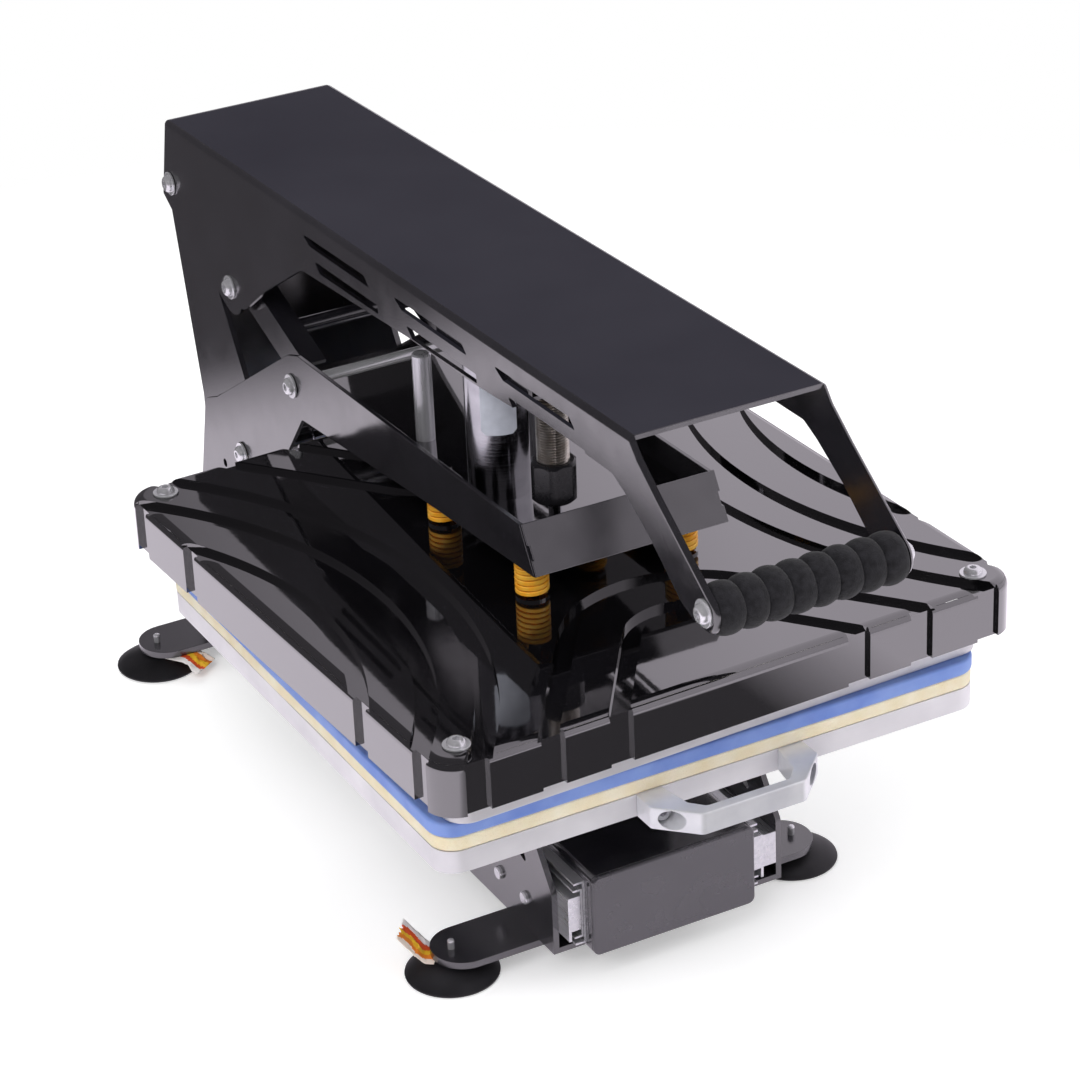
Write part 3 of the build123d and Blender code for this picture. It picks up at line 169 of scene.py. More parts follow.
# %% World
room_glow, dark_glow = 0.45, 0.12
studio_white = (0.97, 0.9, 1.0, 1)
screen_start, screen_end = 0.27, 0.46
world = bpy.data.worlds.new("studio")
world.use_nodes = True
bpy.context.scene.world = world
air = world.node_tree
background = air.nodes["Background"]
any_look = combined(air, "MAXIMUM", seen_directly(air), seen_in_shine(air))
level = linked(air, "MapRange", "Value", any_look, To_Min=room_glow, To_Max=1.0)
air.links.new(level.outputs["Result"], background.inputs["Strength"])
towards = linked(air, "SeparateXYZ", "Vector", node(air, "TexCoord").outputs["Generated"])
wall = linked(air, "MapRange", "Value", towards.outputs["X"], From_Min=screen_start,
              From_Max=screen_end, To_Min=dark_glow, To_Max=1.0)
tinted = linked(air, "MixRGB", 0, wall.outputs["Result"], Color1=(0, 0, 0, 1),
                Color2=studio_white)
shades = linked(air, "MixRGB", 0, seen_in_shine(air), Color1=(1, 1, 1, 1))
air.links.new(tinted.outputs[0], shades.inputs[2])
air.links.new(shades.outputs[0], background.inputs["Color"])
bpy.context.scene.view_settings.view_transform = "Standard"
print("room glow", room_glow, "dark side in reflections", dark_glow)

# %% [markdown]
# ## The table
# The press stands on a sheet of white paper. In reflections the paper is dark far behind the
# press and in a strip in front of it. These dark areas give the levers and the front of the
# cover their depth. Well away from the press the camera sees the paper as plain white, so that
# no edge shows where the sheet ends.

# %% Floor
floor_reach, floor_drop = 6.0, 0.0004
floor_mesh = bpy.data.meshes.new("floor")
floor_mesh.from_pydata(
    [(x, y, -floor_drop) for x, y in ((-floor_reach, -floor_reach), (floor_reach, -floor_reach),
                                      (floor_reach, floor_reach), (-floor_reach, floor_reach))],
    [], [(0, 1, 2, 3)],
)
floor = bpy.data.objects.new("floor", floor_mesh)
bpy.context.scene.collection.objects.link(floor)
print("floor", 2 * floor_reach)

# %% [markdown]
# ## The table's paper
# The paper is a matt shader with a little glow of its own. Its place on the table decides where
# it is dark in reflections: a product of two ramps is a strip, and the larger of two areas is
# both of them together. A Mix Shader then swaps the dark areas in.

# %% White paper
paper_white, paper_in_shine, paper_glow = 0.9, 0.95, 0.38
dark_behind = (0.66, 0.80)
dark_in_front = (-0.42, -0.52)
dark_strip = ((-0.30, -0.12), (0.36, 0.24))
plain_beyond = (0.8, 1.3)

paper = bpy.data.materials.new("white_paper")
paper.use_nodes = True
sheet_tree = paper.node_tree
paper_shader = sheet_tree.nodes["Principled BSDF"]
paper_shader.inputs["Roughness"].default_value = 0.9
paper_shader.inputs["Specular IOR Level"].default_value = 0.1
cast = linked(sheet_tree, "MixRGB", 0, seen_in_shine(sheet_tree),
              Color1=(paper_white, paper_white, paper_white, 1),
              Color2=[paper_in_shine * share for share in studio_white[:3]] + [1])
for socket in ("Base Color", "Emission Color"):
    sheet_tree.links.new(cast.outputs[0], paper_shader.inputs[socket])
any_look = combined(sheet_tree, "MAXIMUM", seen_directly(sheet_tree), seen_in_shine(sheet_tree))
glow = linked(sheet_tree, "MapRange", "Value", any_look, To_Min=0.0, To_Max=paper_glow)
sheet_tree.links.new(glow.outputs["Result"], paper_shader.inputs["Emission Strength"])

spot = node(sheet_tree, "NewGeometry").outputs["Position"]
axes = linked(sheet_tree, "SeparateXYZ", "Vector", spot)
strip = combined(sheet_tree, "MULTIPLY", ramp(sheet_tree, axes.outputs["X"], *dark_strip[0]),
                 ramp(sheet_tree, axes.outputs["X"], *dark_strip[1]))
front = combined(sheet_tree, "MULTIPLY", strip,
                 ramp(sheet_tree, axes.outputs["Y"], *dark_in_front))
behind = ramp(sheet_tree, axes.outputs["Y"], *dark_behind)
hidden = combined(sheet_tree, "MULTIPLY", combined(sheet_tree, "MAXIMUM", front, behind),
                  seen_in_shine(sheet_tree))
either = linked(sheet_tree, "MixShader", 0, hidden)
sheet_tree.links.new(paper_shader.outputs[0], either.inputs[1])
shaded = node(sheet_tree, "Emission", Color=studio_white, Strength=dark_glow)
sheet_tree.links.new(shaded.outputs[0], either.inputs[2])

away = linked(sheet_tree, "VectorMath", 0, spot)
away.operation = "LENGTH"
faded = combined(sheet_tree, "MULTIPLY", ramp(sheet_tree, away.outputs["Value"], *plain_beyond),
                 seen_directly(sheet_tree))
whole = linked(sheet_tree, "MixShader", 0, faded)
sheet_tree.links.new(either.outputs[0], whole.inputs[1])
sheet_tree.links.new(node(sheet_tree, "Emission", Strength=1.0).outputs[0], whole.inputs[2])
sheet_tree.links.new(whole.outputs[0], sheet_tree.nodes["Material Output"].inputs["Surface"])
floor_mesh.materials.append(paper)
print("paper nodes", len(sheet_tree.nodes))

# %% [markdown]
# ## Soft lamps
# Three large lamps light the press from the left, the right and behind. A lamp seen in a
# reflection would draw a hard white square, so shiny surfaces don't see these.

# %% Lamps
def lamp(name, place, target, width, power):
    """A square soft light that faces a target."""
    light = bpy.data.lights.new(name, "AREA")
    light.size = width
    light.energy = power
    made = bpy.data.objects.new(name, light)
    made.location = place
    made.rotation_mode = "QUATERNION"
    made.rotation_quaternion = (Vector(target) - Vector(place)).to_track_quat("-Z", "Y")
    made.visible_glossy = False
    bpy.context.scene.collection.objects.link(made)


lamp("key_light", (-1.6, -1.2, 2.2), (0, 0, 0.2), width=1.6, power=42)
lamp("fill_light", (1.8, -1.4, 1.3), (0, 0, 0.2), width=1.4, power=20)
lamp("rear_light", (0.4, 2.0, 1.9), (0, 0, 0.3), width=1.6, power=26)
print("lamps", [light.name for light in bpy.data.lights])

# %% [markdown]
# ## Recipes for finishes
# Every finish starts as one plain shader. Three small recipes then make it real: a tint that
# wanders over the surface, a polish that is not the same everywhere, and a fine relief. All of
# them read the object's own coordinates in metres, so the grain has its true size on every
# piece and moves with the piece when the press opens.

# %% Finish helpers
# Noise seldom leaves this part of its range.
pattern_low, pattern_high = 0.3, 0.7


def paint(code):
    """Linear colour from a six-figure colour code."""
    shares = [int(code[place:place + 2], 16) / 255 for place in (0, 2, 4)]
    return [s / 12.92 if s <= 0.04045 else ((s + 0.055) / 1.055) ** 2.4 for s in shares]


def finish(name, color, roughness, metallic=0.0, **sockets):
    """A finish with its shader, plain so far."""
    made = bpy.data.materials.new(name)
    made.use_nodes = True
    shader = made.node_tree.nodes["Principled BSDF"]
    shader.inputs["Base Color"].default_value = (*paint(color), 1)
    shader.inputs["Roughness"].default_value = roughness
    shader.inputs["Metallic"].default_value = metallic
    for socket, value in sockets.items():
        shader.inputs[socket.replace("_", " ")].default_value = value
    return made


def shader_of(made):
    """The one shader of a finish."""
    return made.node_tree.nodes["Principled BSDF"]


def cloud(made, size, stretch=(1, 1, 1), detail=3.0):
    """Noise with blotches of about that size in metres, drawn out along some axes."""
    tree = made.node_tree
    sized = node(tree, "Mapping", Scale=[1 / (size * long) for long in stretch])
    tree.links.new(node(tree, "TexCoord").outputs["Object"], sized.inputs["Vector"])
    blotches = node(tree, "TexNoise", Scale=1.0, Detail=detail)
    tree.links.new(sized.outputs["Vector"], blotches.inputs["Vector"])
    return blotches.outputs["Fac"]


def tint(made, pattern, dark, light):
    """The pattern moves the colour between two codes."""
    tree = made.node_tree
    scale = node(tree, "ValToRGB")
    dark_end, light_end = scale.color_ramp.elements
    dark_end.position, light_end.position = pattern_low, pattern_high
    dark_end.color, light_end.color = (*paint(dark), 1), (*paint(light), 1)
    tree.links.new(pattern, scale.inputs["Fac"])
    tree.links.new(scale.outputs["Color"], shader_of(made).inputs["Base Color"])
    return made


def polish(made, pattern, smooth, dull):
    """The pattern moves the roughness between two values."""
    tree = made.node_tree
    share = node(tree, "MapRange", From_Min=pattern_low, From_Max=pattern_high,
                 To_Min=smooth, To_Max=dull)
    tree.links.new(pattern, share.inputs["Value"])
    tree.links.new(share.outputs["Result"], shader_of(made).inputs["Roughness"])
    return made


def relief(made, pattern, height):
    """The pattern raises the surface by up to that height in metres."""
    tree = made.node_tree
    bump = node(tree, "Bump", Strength=1.0, Distance=height)
    tree.links.new(pattern, bump.inputs["Height"])
    tree.links.new(bump.outputs["Normal"], shader_of(made).inputs["Normal"])
    return made


print("a black in linear light", [round(share, 4) for share in paint("141317")])

# %% [markdown]
# ## Black paints
# The sheet parts wear a satin powder coat, the cover a deep gloss enamel, and the top of the
# lever a flat film. Powder coat has the fine dimples of orange peel, about a millimetre across
# and a few hundredths of a millimetre deep. That little relief is what keeps a black sheet from
# looking cut out of paper.

# %% Black finishes
satin_black = finish("satin_black", "141317", 0.2, IOR=2.0, Coat_Weight=0.4, Coat_Roughness=0.15)
tint(satin_black, cloud(satin_black, 0.05), "131216", "1d1c21")
polish(satin_black, cloud(satin_black, 0.02), 0.14, 0.22)
relief(satin_black, cloud(satin_black, 0.0014), 0.00002)

gloss_black = finish("gloss_black", "0d0c0e", 0.07, IOR=2.2, Coat_Weight=1.0, Coat_Roughness=0.03)
tint(gloss_black, cloud(gloss_black, 0.08), "0b0a0c", "100f12")
polish(gloss_black, cloud(gloss_black, 0.03), 0.03, 0.06)
relief(gloss_black, cloud(gloss_black, 0.006, detail=1.0), 0.00001)

lever_film = finish("lever_film", "2f2e36", 0.62, Specular_IOR_Level=0.05)
tint(lever_film, cloud(lever_film, 0.12), "2c2b33", "323139")
relief(lever_film, cloud(lever_film, 0.0006), 0.00001)

# A paler colour for the lever's rounded edges: partly rubbed wear, partly a painted highlight of
# the bright line the edges catch.
edge_wear_and_highlight = finish("edge_wear_and_highlight", "6b6468", 0.35, Metallic=0.3)
tint(edge_wear_and_highlight, cloud(edge_wear_and_highlight, 0.03), "443f44", "857a7c")

plastic_black = finish("plastic_black", "151417", 0.4)
polish(plastic_black, cloud(plastic_black, 0.01), 0.2, 0.32)
relief(plastic_black, cloud(plastic_black, 0.0005), 0.00002)

panel_dark = finish("panel_dark", "211f26", 0.3, IOR=1.9)
tint(panel_dark, cloud(panel_dark, 0.03), "1f1d24", "25232a")
polish(panel_dark, cloud(panel_dark, 0.02), 0.24, 0.34)
relief(panel_dark, cloud(panel_dark, 0.0005), 0.00003)

cup_rubber = finish("cup_rubber", "1a191b", 0.5, Specular_IOR_Level=0.35)
tint(cup_rubber, cloud(cup_rubber, 0.02), "151416", "222124")
relief(cup_rubber, cloud(cup_rubber, 0.0008), 0.00003)
print("materials so far", len(bpy.data.materials))

# %% [markdown]
# ## Bright metals
# Machined and cast surfaces differ by their marks. Brushing and rolling leave long fine lines,
# so the noise is drawn out along one axis. Casting and blasting leave grains that are the same
# in all directions. Chrome has neither, only a faint waviness.

# %% Metal finishes
chrome = finish("chrome", "d6d6da", 0.08, 1.0)
polish(chrome, cloud(chrome, 0.01), 0.05, 0.13)

drawn_steel = finish("drawn_steel", "d2d1d6", 0.32, 0.7)
tint(drawn_steel, cloud(drawn_steel, 0.004, (1, 1, 30)), "c2c1c8", "e0dfe4")
polish(drawn_steel, cloud(drawn_steel, 0.002, (1, 1, 40)), 0.24, 0.4)

bolt_steel = finish("bolt_steel", "dddcdf", 0.24, 0.7)
tint(bolt_steel, cloud(bolt_steel, 0.012), "d6d5d9", "e2e2e5")
polish(bolt_steel, cloud(bolt_steel, 0.006), 0.2, 0.26)

zinc_rail = finish("zinc_rail", "cfcfd2", 0.3, 0.8)
tint(zinc_rail, cloud(zinc_rail, 0.003, (1, 25, 1)), "c6c7ca", "d6d6d8")
polish(zinc_rail, cloud(zinc_rail, 0.0015, (1, 40, 1)), 0.26, 0.34)

magnet_steel = finish("magnet_steel", "a9a9ad", 0.14, 1.0)
tint(magnet_steel, cloud(magnet_steel, 0.02), "9c9ca1", "b8b8bc")
polish(magnet_steel, cloud(magnet_steel, 0.0009, (30, 30, 1)), 0.09, 0.2)

thread_zinc = finish("thread_zinc", "bdb8ae", 0.28, 1.0)
tint(thread_zinc, cloud(thread_zinc, 0.006), "a79f92", "cfccc4")

milled_aluminium = finish("milled_aluminium", "dcdadd", 0.42, 0.35)
tint(milled_aluminium, cloud(milled_aluminium, 0.05), "d3d1d5", "e6e4e7")
polish(milled_aluminium, cloud(milled_aluminium, 0.0012, (40, 1, 1)), 0.34, 0.5)
relief(milled_aluminium, cloud(milled_aluminium, 0.0008, (40, 1, 1)), 0.00001)

cast_aluminium = finish("cast_aluminium", "d8d8dc", 0.34, 0.35)
tint(cast_aluminium, cloud(cast_aluminium, 0.02), "d0d0d6", "e0e0e4")
relief(cast_aluminium, cloud(cast_aluminium, 0.0006), 0.00002)

element_steel = finish("element_steel", "6d655c", 0.4, 0.9)
tint(element_steel, cloud(element_steel, 0.02), "584f47", "82786d")

bush_bronze = finish("bush_bronze", "a37f45", 0.35, 1.0)
tint(bush_bronze, cloud(bush_bronze, 0.003), "8f6d38", "b58f55")
print("materials so far", len(bpy.data.materials))

# %% [markdown]
# ## Soft and coloured goods
# Foam is a crowd of tiny open cells, so its relief comes from a Voronoi texture, which draws
# cells, rather than from noise. Silicone is closed and smooth. Light enters both a little way,
# which a low subsurface weight stands for.

# %% Soft finishes
def cells(made, size):
    """Distance to the nearest cell centre, for cells of about that size in metres."""
    tree = made.node_tree
    pattern = node(tree, "TexVoronoi", Scale=1 / size)
    tree.links.new(node(tree, "TexCoord").outputs["Object"], pattern.inputs["Vector"])
    return pattern.outputs["Distance"]


grip_foam = finish("grip_foam", "1d1c1f", 0.85, Sheen_Weight=0.1, Sheen_Roughness=0.5,
                   Specular_IOR_Level=0.25)
tint(grip_foam, cloud(grip_foam, 0.004), "19181b", "29282c")
relief(grip_foam, cells(grip_foam, 0.0007), 0.00025)

cream_foam = finish("cream_foam", "f4e6c8", 0.8, Subsurface_Weight=0.1, Subsurface_Scale=0.002)
tint(cream_foam, cloud(cream_foam, 0.02), "efdfbd", "f8eed8")
relief(cream_foam, cells(cream_foam, 0.0012), 0.0002)

blue_silicone = finish("blue_silicone", "7c98df", 0.55, Subsurface_Weight=0.1,
                       Subsurface_Scale=0.002)
tint(blue_silicone, cloud(blue_silicone, 0.03), "6f8cd8", "8ca6e6")
relief(blue_silicone, cloud(blue_silicone, 0.0007), 0.00005)

spring_yellow = finish("spring_yellow", "ffb52c", 0.28, Coat_Weight=0.3)
tint(spring_yellow, cloud(spring_yellow, 0.006), "ffa91e", "ffc850")

blanket_white = finish("blanket_white", "dcd8cc", 0.95, Sheen_Weight=0.3)
tint(blanket_white, cloud(blanket_white, 0.01), "cfcabd", "e8e5db")
relief(blanket_white, cloud(blanket_white, 0.0008, (8, 1, 1)), 0.0003)

board_green = finish("board_green", "1c6b3b", 0.35)
tint(board_green, cloud(board_green, 0.008), "175c32", "237a45")

# The label itself is white; this blue grey is painted shade, for the shade it lies in.
label_with_painted_shade = finish("label_with_painted_shade", "c2c4d0", 0.5)
tint(label_with_painted_shade, cloud(label_with_painted_shade, 0.01), "b9bcc9", "cccedb")

tag_paper = finish("tag_paper", "f28a2a", 0.6)
tint(tag_paper, cloud(tag_paper, 0.011, detail=1.0), "e2582a", "f7c84a")
relief(tag_paper, cloud(tag_paper, 0.003), 0.0003)
print("materials so far", len(bpy.data.materials))

# %% [markdown]
# ## One finish for each of the record's slots
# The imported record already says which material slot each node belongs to, so one small table
# from slot to finish dresses all of them, and none is forgotten.

# %% Dress the CAD nodes
finish_of_slot = {
    "black_paint": satin_black,
    "gloss_black": gloss_black,
    "black_rubber": cup_rubber,
    "bright_screws": bolt_steel,
    "bright_steel": chrome,
    "zinc_rail": zinc_rail,
    "tag_orange": tag_paper,
    "magnet_steel": magnet_steel,
    "thread_zinc": thread_zinc,
    "foam_black": grip_foam,
    "platen_aluminium": milled_aluminium,
    "cast_aluminium": cast_aluminium,
    "element_steel": element_steel,
    "blanket_white": blanket_white,
    "spring_yellow": spring_yellow,
    "foam_cream": cream_foam,
    "silicone_blue": blue_silicone,
    "panel_dark": panel_dark,
    "board_green": board_green,
    "plastic_black": plastic_black,
    "bronze": bush_bronze,
}
slot_of_node = {part["node"]: part["material_slot"] for part in frame["record"]["subparts"]}
for name, part in frame["nodes"].items():
    for place in part.material_slots:
        place.material = finish_of_slot[slot_of_node[name]]
for name, made in (("stop_posts", drawn_steel), ("hanger_studs", gloss_black)):
    for place in frame["nodes"][name].material_slots:
        place.material = made
print("dressed", len(frame["nodes"]))

# %% [markdown]
# ## Edges that catch the light
# A sheared or moulded edge is never perfectly sharp: a few tenths of a millimetre of round draw
# the thin bright line round every real part. A CAD node may not be changed, so a copy stands
# for it. Its flat faces are first joined again, then a Bevel modifier rounds every edge that is
# sharper than a set angle. Faces wider than a few millimetres are shaded flat and only the
# narrow strips of a round are shaded smooth, because a smooth shade would bend the reflections
# in the large faces too.

# %% Placing and shading
edge_angle = math.radians(35)
wide_face = 0.008
square_enough = 0.9999


def place_piece(name, mesh, body, finishes):
    """Puts a new mesh in the scene, on its body, with its finishes."""
    piece = bpy.data.objects.new(name, mesh)
    bpy.context.scene.collection.objects.link(piece)
    for made in finishes:
        mesh.materials.append(made)
    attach(piece, body)
    return piece


def smooth_faces(mesh):
    """Smooth shading that keeps sharp edges and leaves wide faces truly flat."""
    mesh.shade_smooth()
    mesh.set_sharp_from_angle(angle=edge_angle)
    places = [corner.co for corner in mesh.vertices]
    for face in mesh.polygons:
        corners = [places[index] for index in face.vertices]
        around = sum((near - far).length for near, far in zip(corners, corners[1:] + corners[:1]))
        wide = 2 * face.area > wide_face * around
        squared = max(abs(share) for share in face.normal) > square_enough
        face.use_smooth = not (wide or squared)


print("edges sharper than", round(math.degrees(edge_angle)), "degrees stay sharp")

# %% [markdown]
# ## Which pieces are rounded, and by how much
# Rolled rails have the smallest rounds, sheared sheet larger ones, castings and mouldings more,
# and the pressed cover the most. Points that lie together and faces in one plane are joined
# first, because a bevel would otherwise round the seams between the CAD model's triangles.

# %% Rounded copies
same_point, same_plane = 0.000002, math.radians(0.5)


def rounded_copy(name, width, edge_finish=None, segments=2):
    """A copy of a CAD node with small rounds on its sharp edges, which stands for the node."""
    source = frame["nodes"][name]
    shape = bmesh.new()
    shape.from_mesh(source.data)
    bmesh.ops.remove_doubles(shape, verts=shape.verts, dist=same_point)
    bmesh.ops.dissolve_limit(
        shape, angle_limit=same_plane, verts=shape.verts, edges=shape.edges
    )
    mesh = bpy.data.meshes.new(name + "_rounded")
    shape.to_mesh(mesh)
    shape.free()
    if "custom_normal" in mesh.attributes:
        mesh.attributes.remove(mesh.attributes["custom_normal"])
    mesh.materials.clear()
    smooth_faces(mesh)
    slot = slot_of_node[name]
    finishes = [finish_of_slot[slot]] + ([edge_finish] if edge_finish else [])
    piece = place_piece(name + "_rounded", mesh, source["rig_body"], finishes)
    bevel = piece.modifiers.new("edge_round", "BEVEL")
    bevel.width = width
    bevel.segments = segments
    bevel.limit_method = "ANGLE"
    bevel.angle_limit = edge_angle
    bevel.use_clamp_overlap = True
    if edge_finish:
        bevel.material = 1
    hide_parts(name)
    return piece


rail_round, sheet_round, cast_round = 0.0002, 0.0004, 0.0006
nut_round, cover_round = 0.0008, 0.0014
for name in ("arm_side_plates", "arm_front_plate", "arm_web", "base_side_plates", "pillar_plates",
             "foot_bars", "magnet_bracket", "link_frame", "carriage_bracket", "rear_base_pan"):
    rounded_copy(name, sheet_round)
for name in ("slide_outer_rails", "slide_middle_rails", "slide_inner_rails"):
    rounded_copy(name, rail_round)
for name in ("lower_plate", "hot_platen", "pull_handle", "control_box", "box_front_panel",
             "box_rear_panel", "power_inlet", "rocker_switch"):
    rounded_copy(name, cast_round)
rounded_copy("damper_nut", nut_round, segments=3)
rounded_copy("heat_cover", cover_round, segments=3)

# %% [markdown]
# ## The lever
# The lever is one folded sheet. Its top wears a flat film that ends just short of the folds, so
# faces that look upward get their own finish, and the rounded edges get a third, paler one. That
# paler colour is partly wear where hands and cloths have rubbed them and partly a painted
# highlight: the thin bright line that the edges catch.

# %% Lever
lever_round, lever_top_depth, facing_up = 0.0005, 0.03, 0.995
lever = rounded_copy("lever_channel", lever_round, edge_wear_and_highlight)
film_index = len(lever.data.materials)
lever.data.materials.append(lever_film)
lever_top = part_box("lever_channel")[1].z
film_faces = [face for face in lever.data.polygons
              if face.normal.z > facing_up and face.center.z > lever_top - lever_top_depth]
for face in film_faces:
    face.material_index = film_index
print("film faces", len(film_faces))

# %% [markdown]
# ## Turned pieces
# Screw heads, cups and the foam grip are all one outline spun about an axis. The helper below
# takes that outline as radius and height, and can make chosen rings six-sided, which is how a
# round head gets the hexagon socket that a real button screw has.

# %% A lathe
on_axis = 1e-7


def turned_shape(outline, hexagons=(), steps=48):
    """A mesh in bmesh from an outline of radius and height, some rings six-sided."""
    shape = bmesh.new()
    rings = []
    sixth = math.pi / 3
    for index, (radius, height) in enumerate(outline):
        if radius < on_axis:
            rings.append([shape.verts.new((0, 0, height))])
            continue
        ring = []
        for step in range(steps):
            angle = 2 * math.pi * step / steps
            reach = radius
            if index in hexagons:
                reach *= math.cos(sixth / 2) / math.cos(angle % sixth - sixth / 2)
            ring.append(shape.verts.new(
                (reach * math.cos(angle), reach * math.sin(angle), height)))
        rings.append(ring)
    for below, above in zip(rings, rings[1:]):
        for step in range(steps):
            after = (step + 1) % steps
            if len(below) == 1:
                shape.faces.new((below[0], above[after], above[step]))
            elif len(above) == 1:
                shape.faces.new((below[step], below[after], above[0]))
            else:
                shape.faces.new((below[step], below[after], above[after], above[step]))
    bmesh.ops.recalc_face_normals(shape, faces=shape.faces)
    return shape


def facing(direction, place):
    """Turns a shape's upright axis to a direction and moves it to a place."""
    turn = Vector((0, 0, 1)).rotation_difference(Vector(direction))
    return Matrix.Translation(place) @ turn.to_matrix().to_4x4()


def joined(name, shapes):
    """One mesh from several shapes, each with its own place."""
    whole = bpy.data.meshes.new(name)
    everything = bmesh.new()
    for shape, matrix in shapes:
        part = bpy.data.meshes.new("part")
        shape.transform(matrix)
        shape.to_mesh(part)
        shape.free()
        everything.from_mesh(part)
        bpy.data.meshes.remove(part)
    everything.to_mesh(whole)
    everything.free()
    smooth_faces(whole)
    return whole


print("a hexagon's corners reach", round(1 / math.cos(math.pi / 6), 3), "times its flats")

# %% [markdown]
# ## Button-head bolts
# Ten bolts with thin washers hold the pivots. Each is turned as a single outline: shank,
# washer, domed head, and a socket of six sides sunk into it. The dome is a quarter of an
# ellipse. Their places are read from the CAD nodes that they stand for.

# %% Pivot bolts
washer_radius, washer_thickness = 0.0086, 0.0015
head_radius, head_height = 0.0063, 0.0036
socket_radius, socket_depth = 0.0026, 0.0022
blunt_edge = 0.0002
flat_rim = 1.35


def washer_outline(seat, radius, thickness):
    """Outline of a washer with blunt outer edges, above its seat."""
    return [(radius - blunt_edge, seat), (radius, seat + blunt_edge),
            (radius, seat + thickness - blunt_edge), (radius - blunt_edge, seat + thickness)]


def dome(seat, radius, height, socket, count=6):
    """Outline of a domed head from its seat to the floor of its socket."""
    arc = [math.pi / 2 * step / count for step in range(count + 1)]
    outline = [(radius - (radius - socket * flat_rim) * (1 - math.cos(a)),
                seat + height * math.sin(a)) for a in arc]
    top = seat + height
    return outline + [(socket, top), (socket, top - socket_depth), (0, top - socket_depth)]


def socket_rings(outline):
    """Which points of an outline that ends in a dome are the socket's rings."""
    return len(outline) - 3, len(outline) - 2


def button_outline(shank):
    """Outline of a bolt with its washer, after the shank's own outline."""
    seat = shank[-1][1]
    head = dome(seat + washer_thickness, head_radius, head_height, socket_radius)
    return shank + washer_outline(seat, washer_radius, washer_thickness) + head


# Radius and distance from the press's middle plane, for each bend of the outline.
shanks = {
    "lever_pivot_bolts": [(0, 0.05), (0.01, 0.05), (0.01, 0.058), (0.006, 0.058), (0.006, 0.062),
                          (0.01, 0.062), (0.01, 0.0627), (0.006, 0.0627), (0.006, 0.0663)],
    "link_pins": [(0, 0.063), (0.006, 0.063), (0.006, 0.066)],
    "grip_bolts": [(0, 0.048), (0.004, 0.048), (0.004, 0.066)],
    "link_shaft": [(0.005, 0), (0.005, 0.0686)],
    "arm_pivot_shaft": [(0.0065, 0), (0.0065, 0.062), (0.013, 0.062), (0.013, 0.065),
                        (0.0065, 0.065), (0.0065, 0.0686)],
}
for name, shank in shanks.items():
    low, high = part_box(name)
    middle = Vector((0, (low.y + high.y) / 2, (low.z + high.z) / 2))
    outline = button_outline(shank)
    shapes = [(turned_shape(outline, socket_rings(outline)), facing((way, 0, 0), middle))
              for way in (-1, 1)]
    bolts = place_piece(name + "_turned", joined(name + "_turned", shapes),
                        frame["nodes"][name]["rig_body"], [bolt_steel])
    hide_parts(name)
print("bolt sets", len(shanks))

# %% [markdown]
# ## Corner screws of the cover
# The cover's four screws stand upright in its corners. The cover hangs turned by about two
# degrees on its springs, so the corners are worked out square first and then turned.

# %% Cover screws
cover_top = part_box("heat_cover")[1].z
head_turn = Matrix.Rotation(math.radians(1.89), 4, "Z")
corner_x, corner_y = 0.184, 0.196
screw_washer, screw_washer_thickness = 0.0085, 0.0012
screw_radius, screw_height, screw_socket = 0.006, 0.0034, 0.0024
shank_radius, shank_length = 0.003, 0.02
screw_outline = [(0, -shank_length), (shank_radius, -shank_length), (shank_radius, 0)]
screw_outline += washer_outline(0, screw_washer, screw_washer_thickness)
screw_outline += dome(screw_washer_thickness, screw_radius, screw_height, screw_socket)
shapes = []
for way_x in (-1, 1):
    for way_y in (-1, 1):
        corner = head_turn @ Vector((way_x * corner_x, way_y * corner_y, 0))
        place = Vector((corner.x, corner.y + plate_middle.y, cover_top))
        shapes.append((turned_shape(screw_outline, socket_rings(screw_outline)),
                       Matrix.Translation(place)))
screws = place_piece("cover_screws_turned", joined("cover_screws_turned", shapes), "head",
                     [bolt_steel])
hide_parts("cover_screws")
print("cover screws", len(shapes))

# %% [markdown]
# ## The foam grip
# The grip is a foam sleeve pressed over a tube, with eight round bulges. Each bulge is an arc
# between two narrow valleys. Foam is never quite regular, so a little smooth noise moves every
# point, by well under a millimetre.

# %% Foam grip
def settle(shape, amount, size, seed):
    """Moves each point a little by smooth noise of a given size."""
    offset = Vector((seed, seed * 2, seed * 3))
    for vertex in shape.verts:
        vertex.co += noise.noise_vector(vertex.co / size + offset) * amount


grip_low, grip_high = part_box("foam_grip")
grip_half = grip_high.x
bulge_count = 8
bulge_reach, valley_reach, sleeve_bore = 0.0159, 0.0131, 0.0093
sleeve_edge, end_margin, bulge_fullness = 0.001, 0.004, 0.62
points_per_bulge = 14
grip_outline = [(sleeve_bore, -grip_half), (valley_reach - sleeve_edge, -grip_half)]
for step in range(bulge_count * points_per_bulge + 1):
    share = step / (bulge_count * points_per_bulge)
    swell = abs(math.sin(math.pi * bulge_count * share)) ** bulge_fullness
    along = end_margin + (1 - 2 * end_margin) * share
    height = -grip_half + 2 * grip_half * along
    grip_outline.append((valley_reach + (bulge_reach - valley_reach) * swell, height))
grip_outline += [(valley_reach - sleeve_edge, grip_half), (sleeve_bore, grip_half)]
sleeve = turned_shape(grip_outline, steps=72)
settle(sleeve, amount=0.00025, size=0.012, seed=3)
for vertex in sleeve.verts:
    vertex.co.z = max(-grip_half, min(grip_half, vertex.co.z))
grip_middle = (grip_low + grip_high) / 2
grip_mesh = joined("foam_sleeve", [(sleeve, facing((1, 0, 0), grip_middle))])
grip = place_piece("foam_sleeve", grip_mesh, "lever", [grip_foam])
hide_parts("foam_grip")
print("grip points", len(grip.data.vertices))

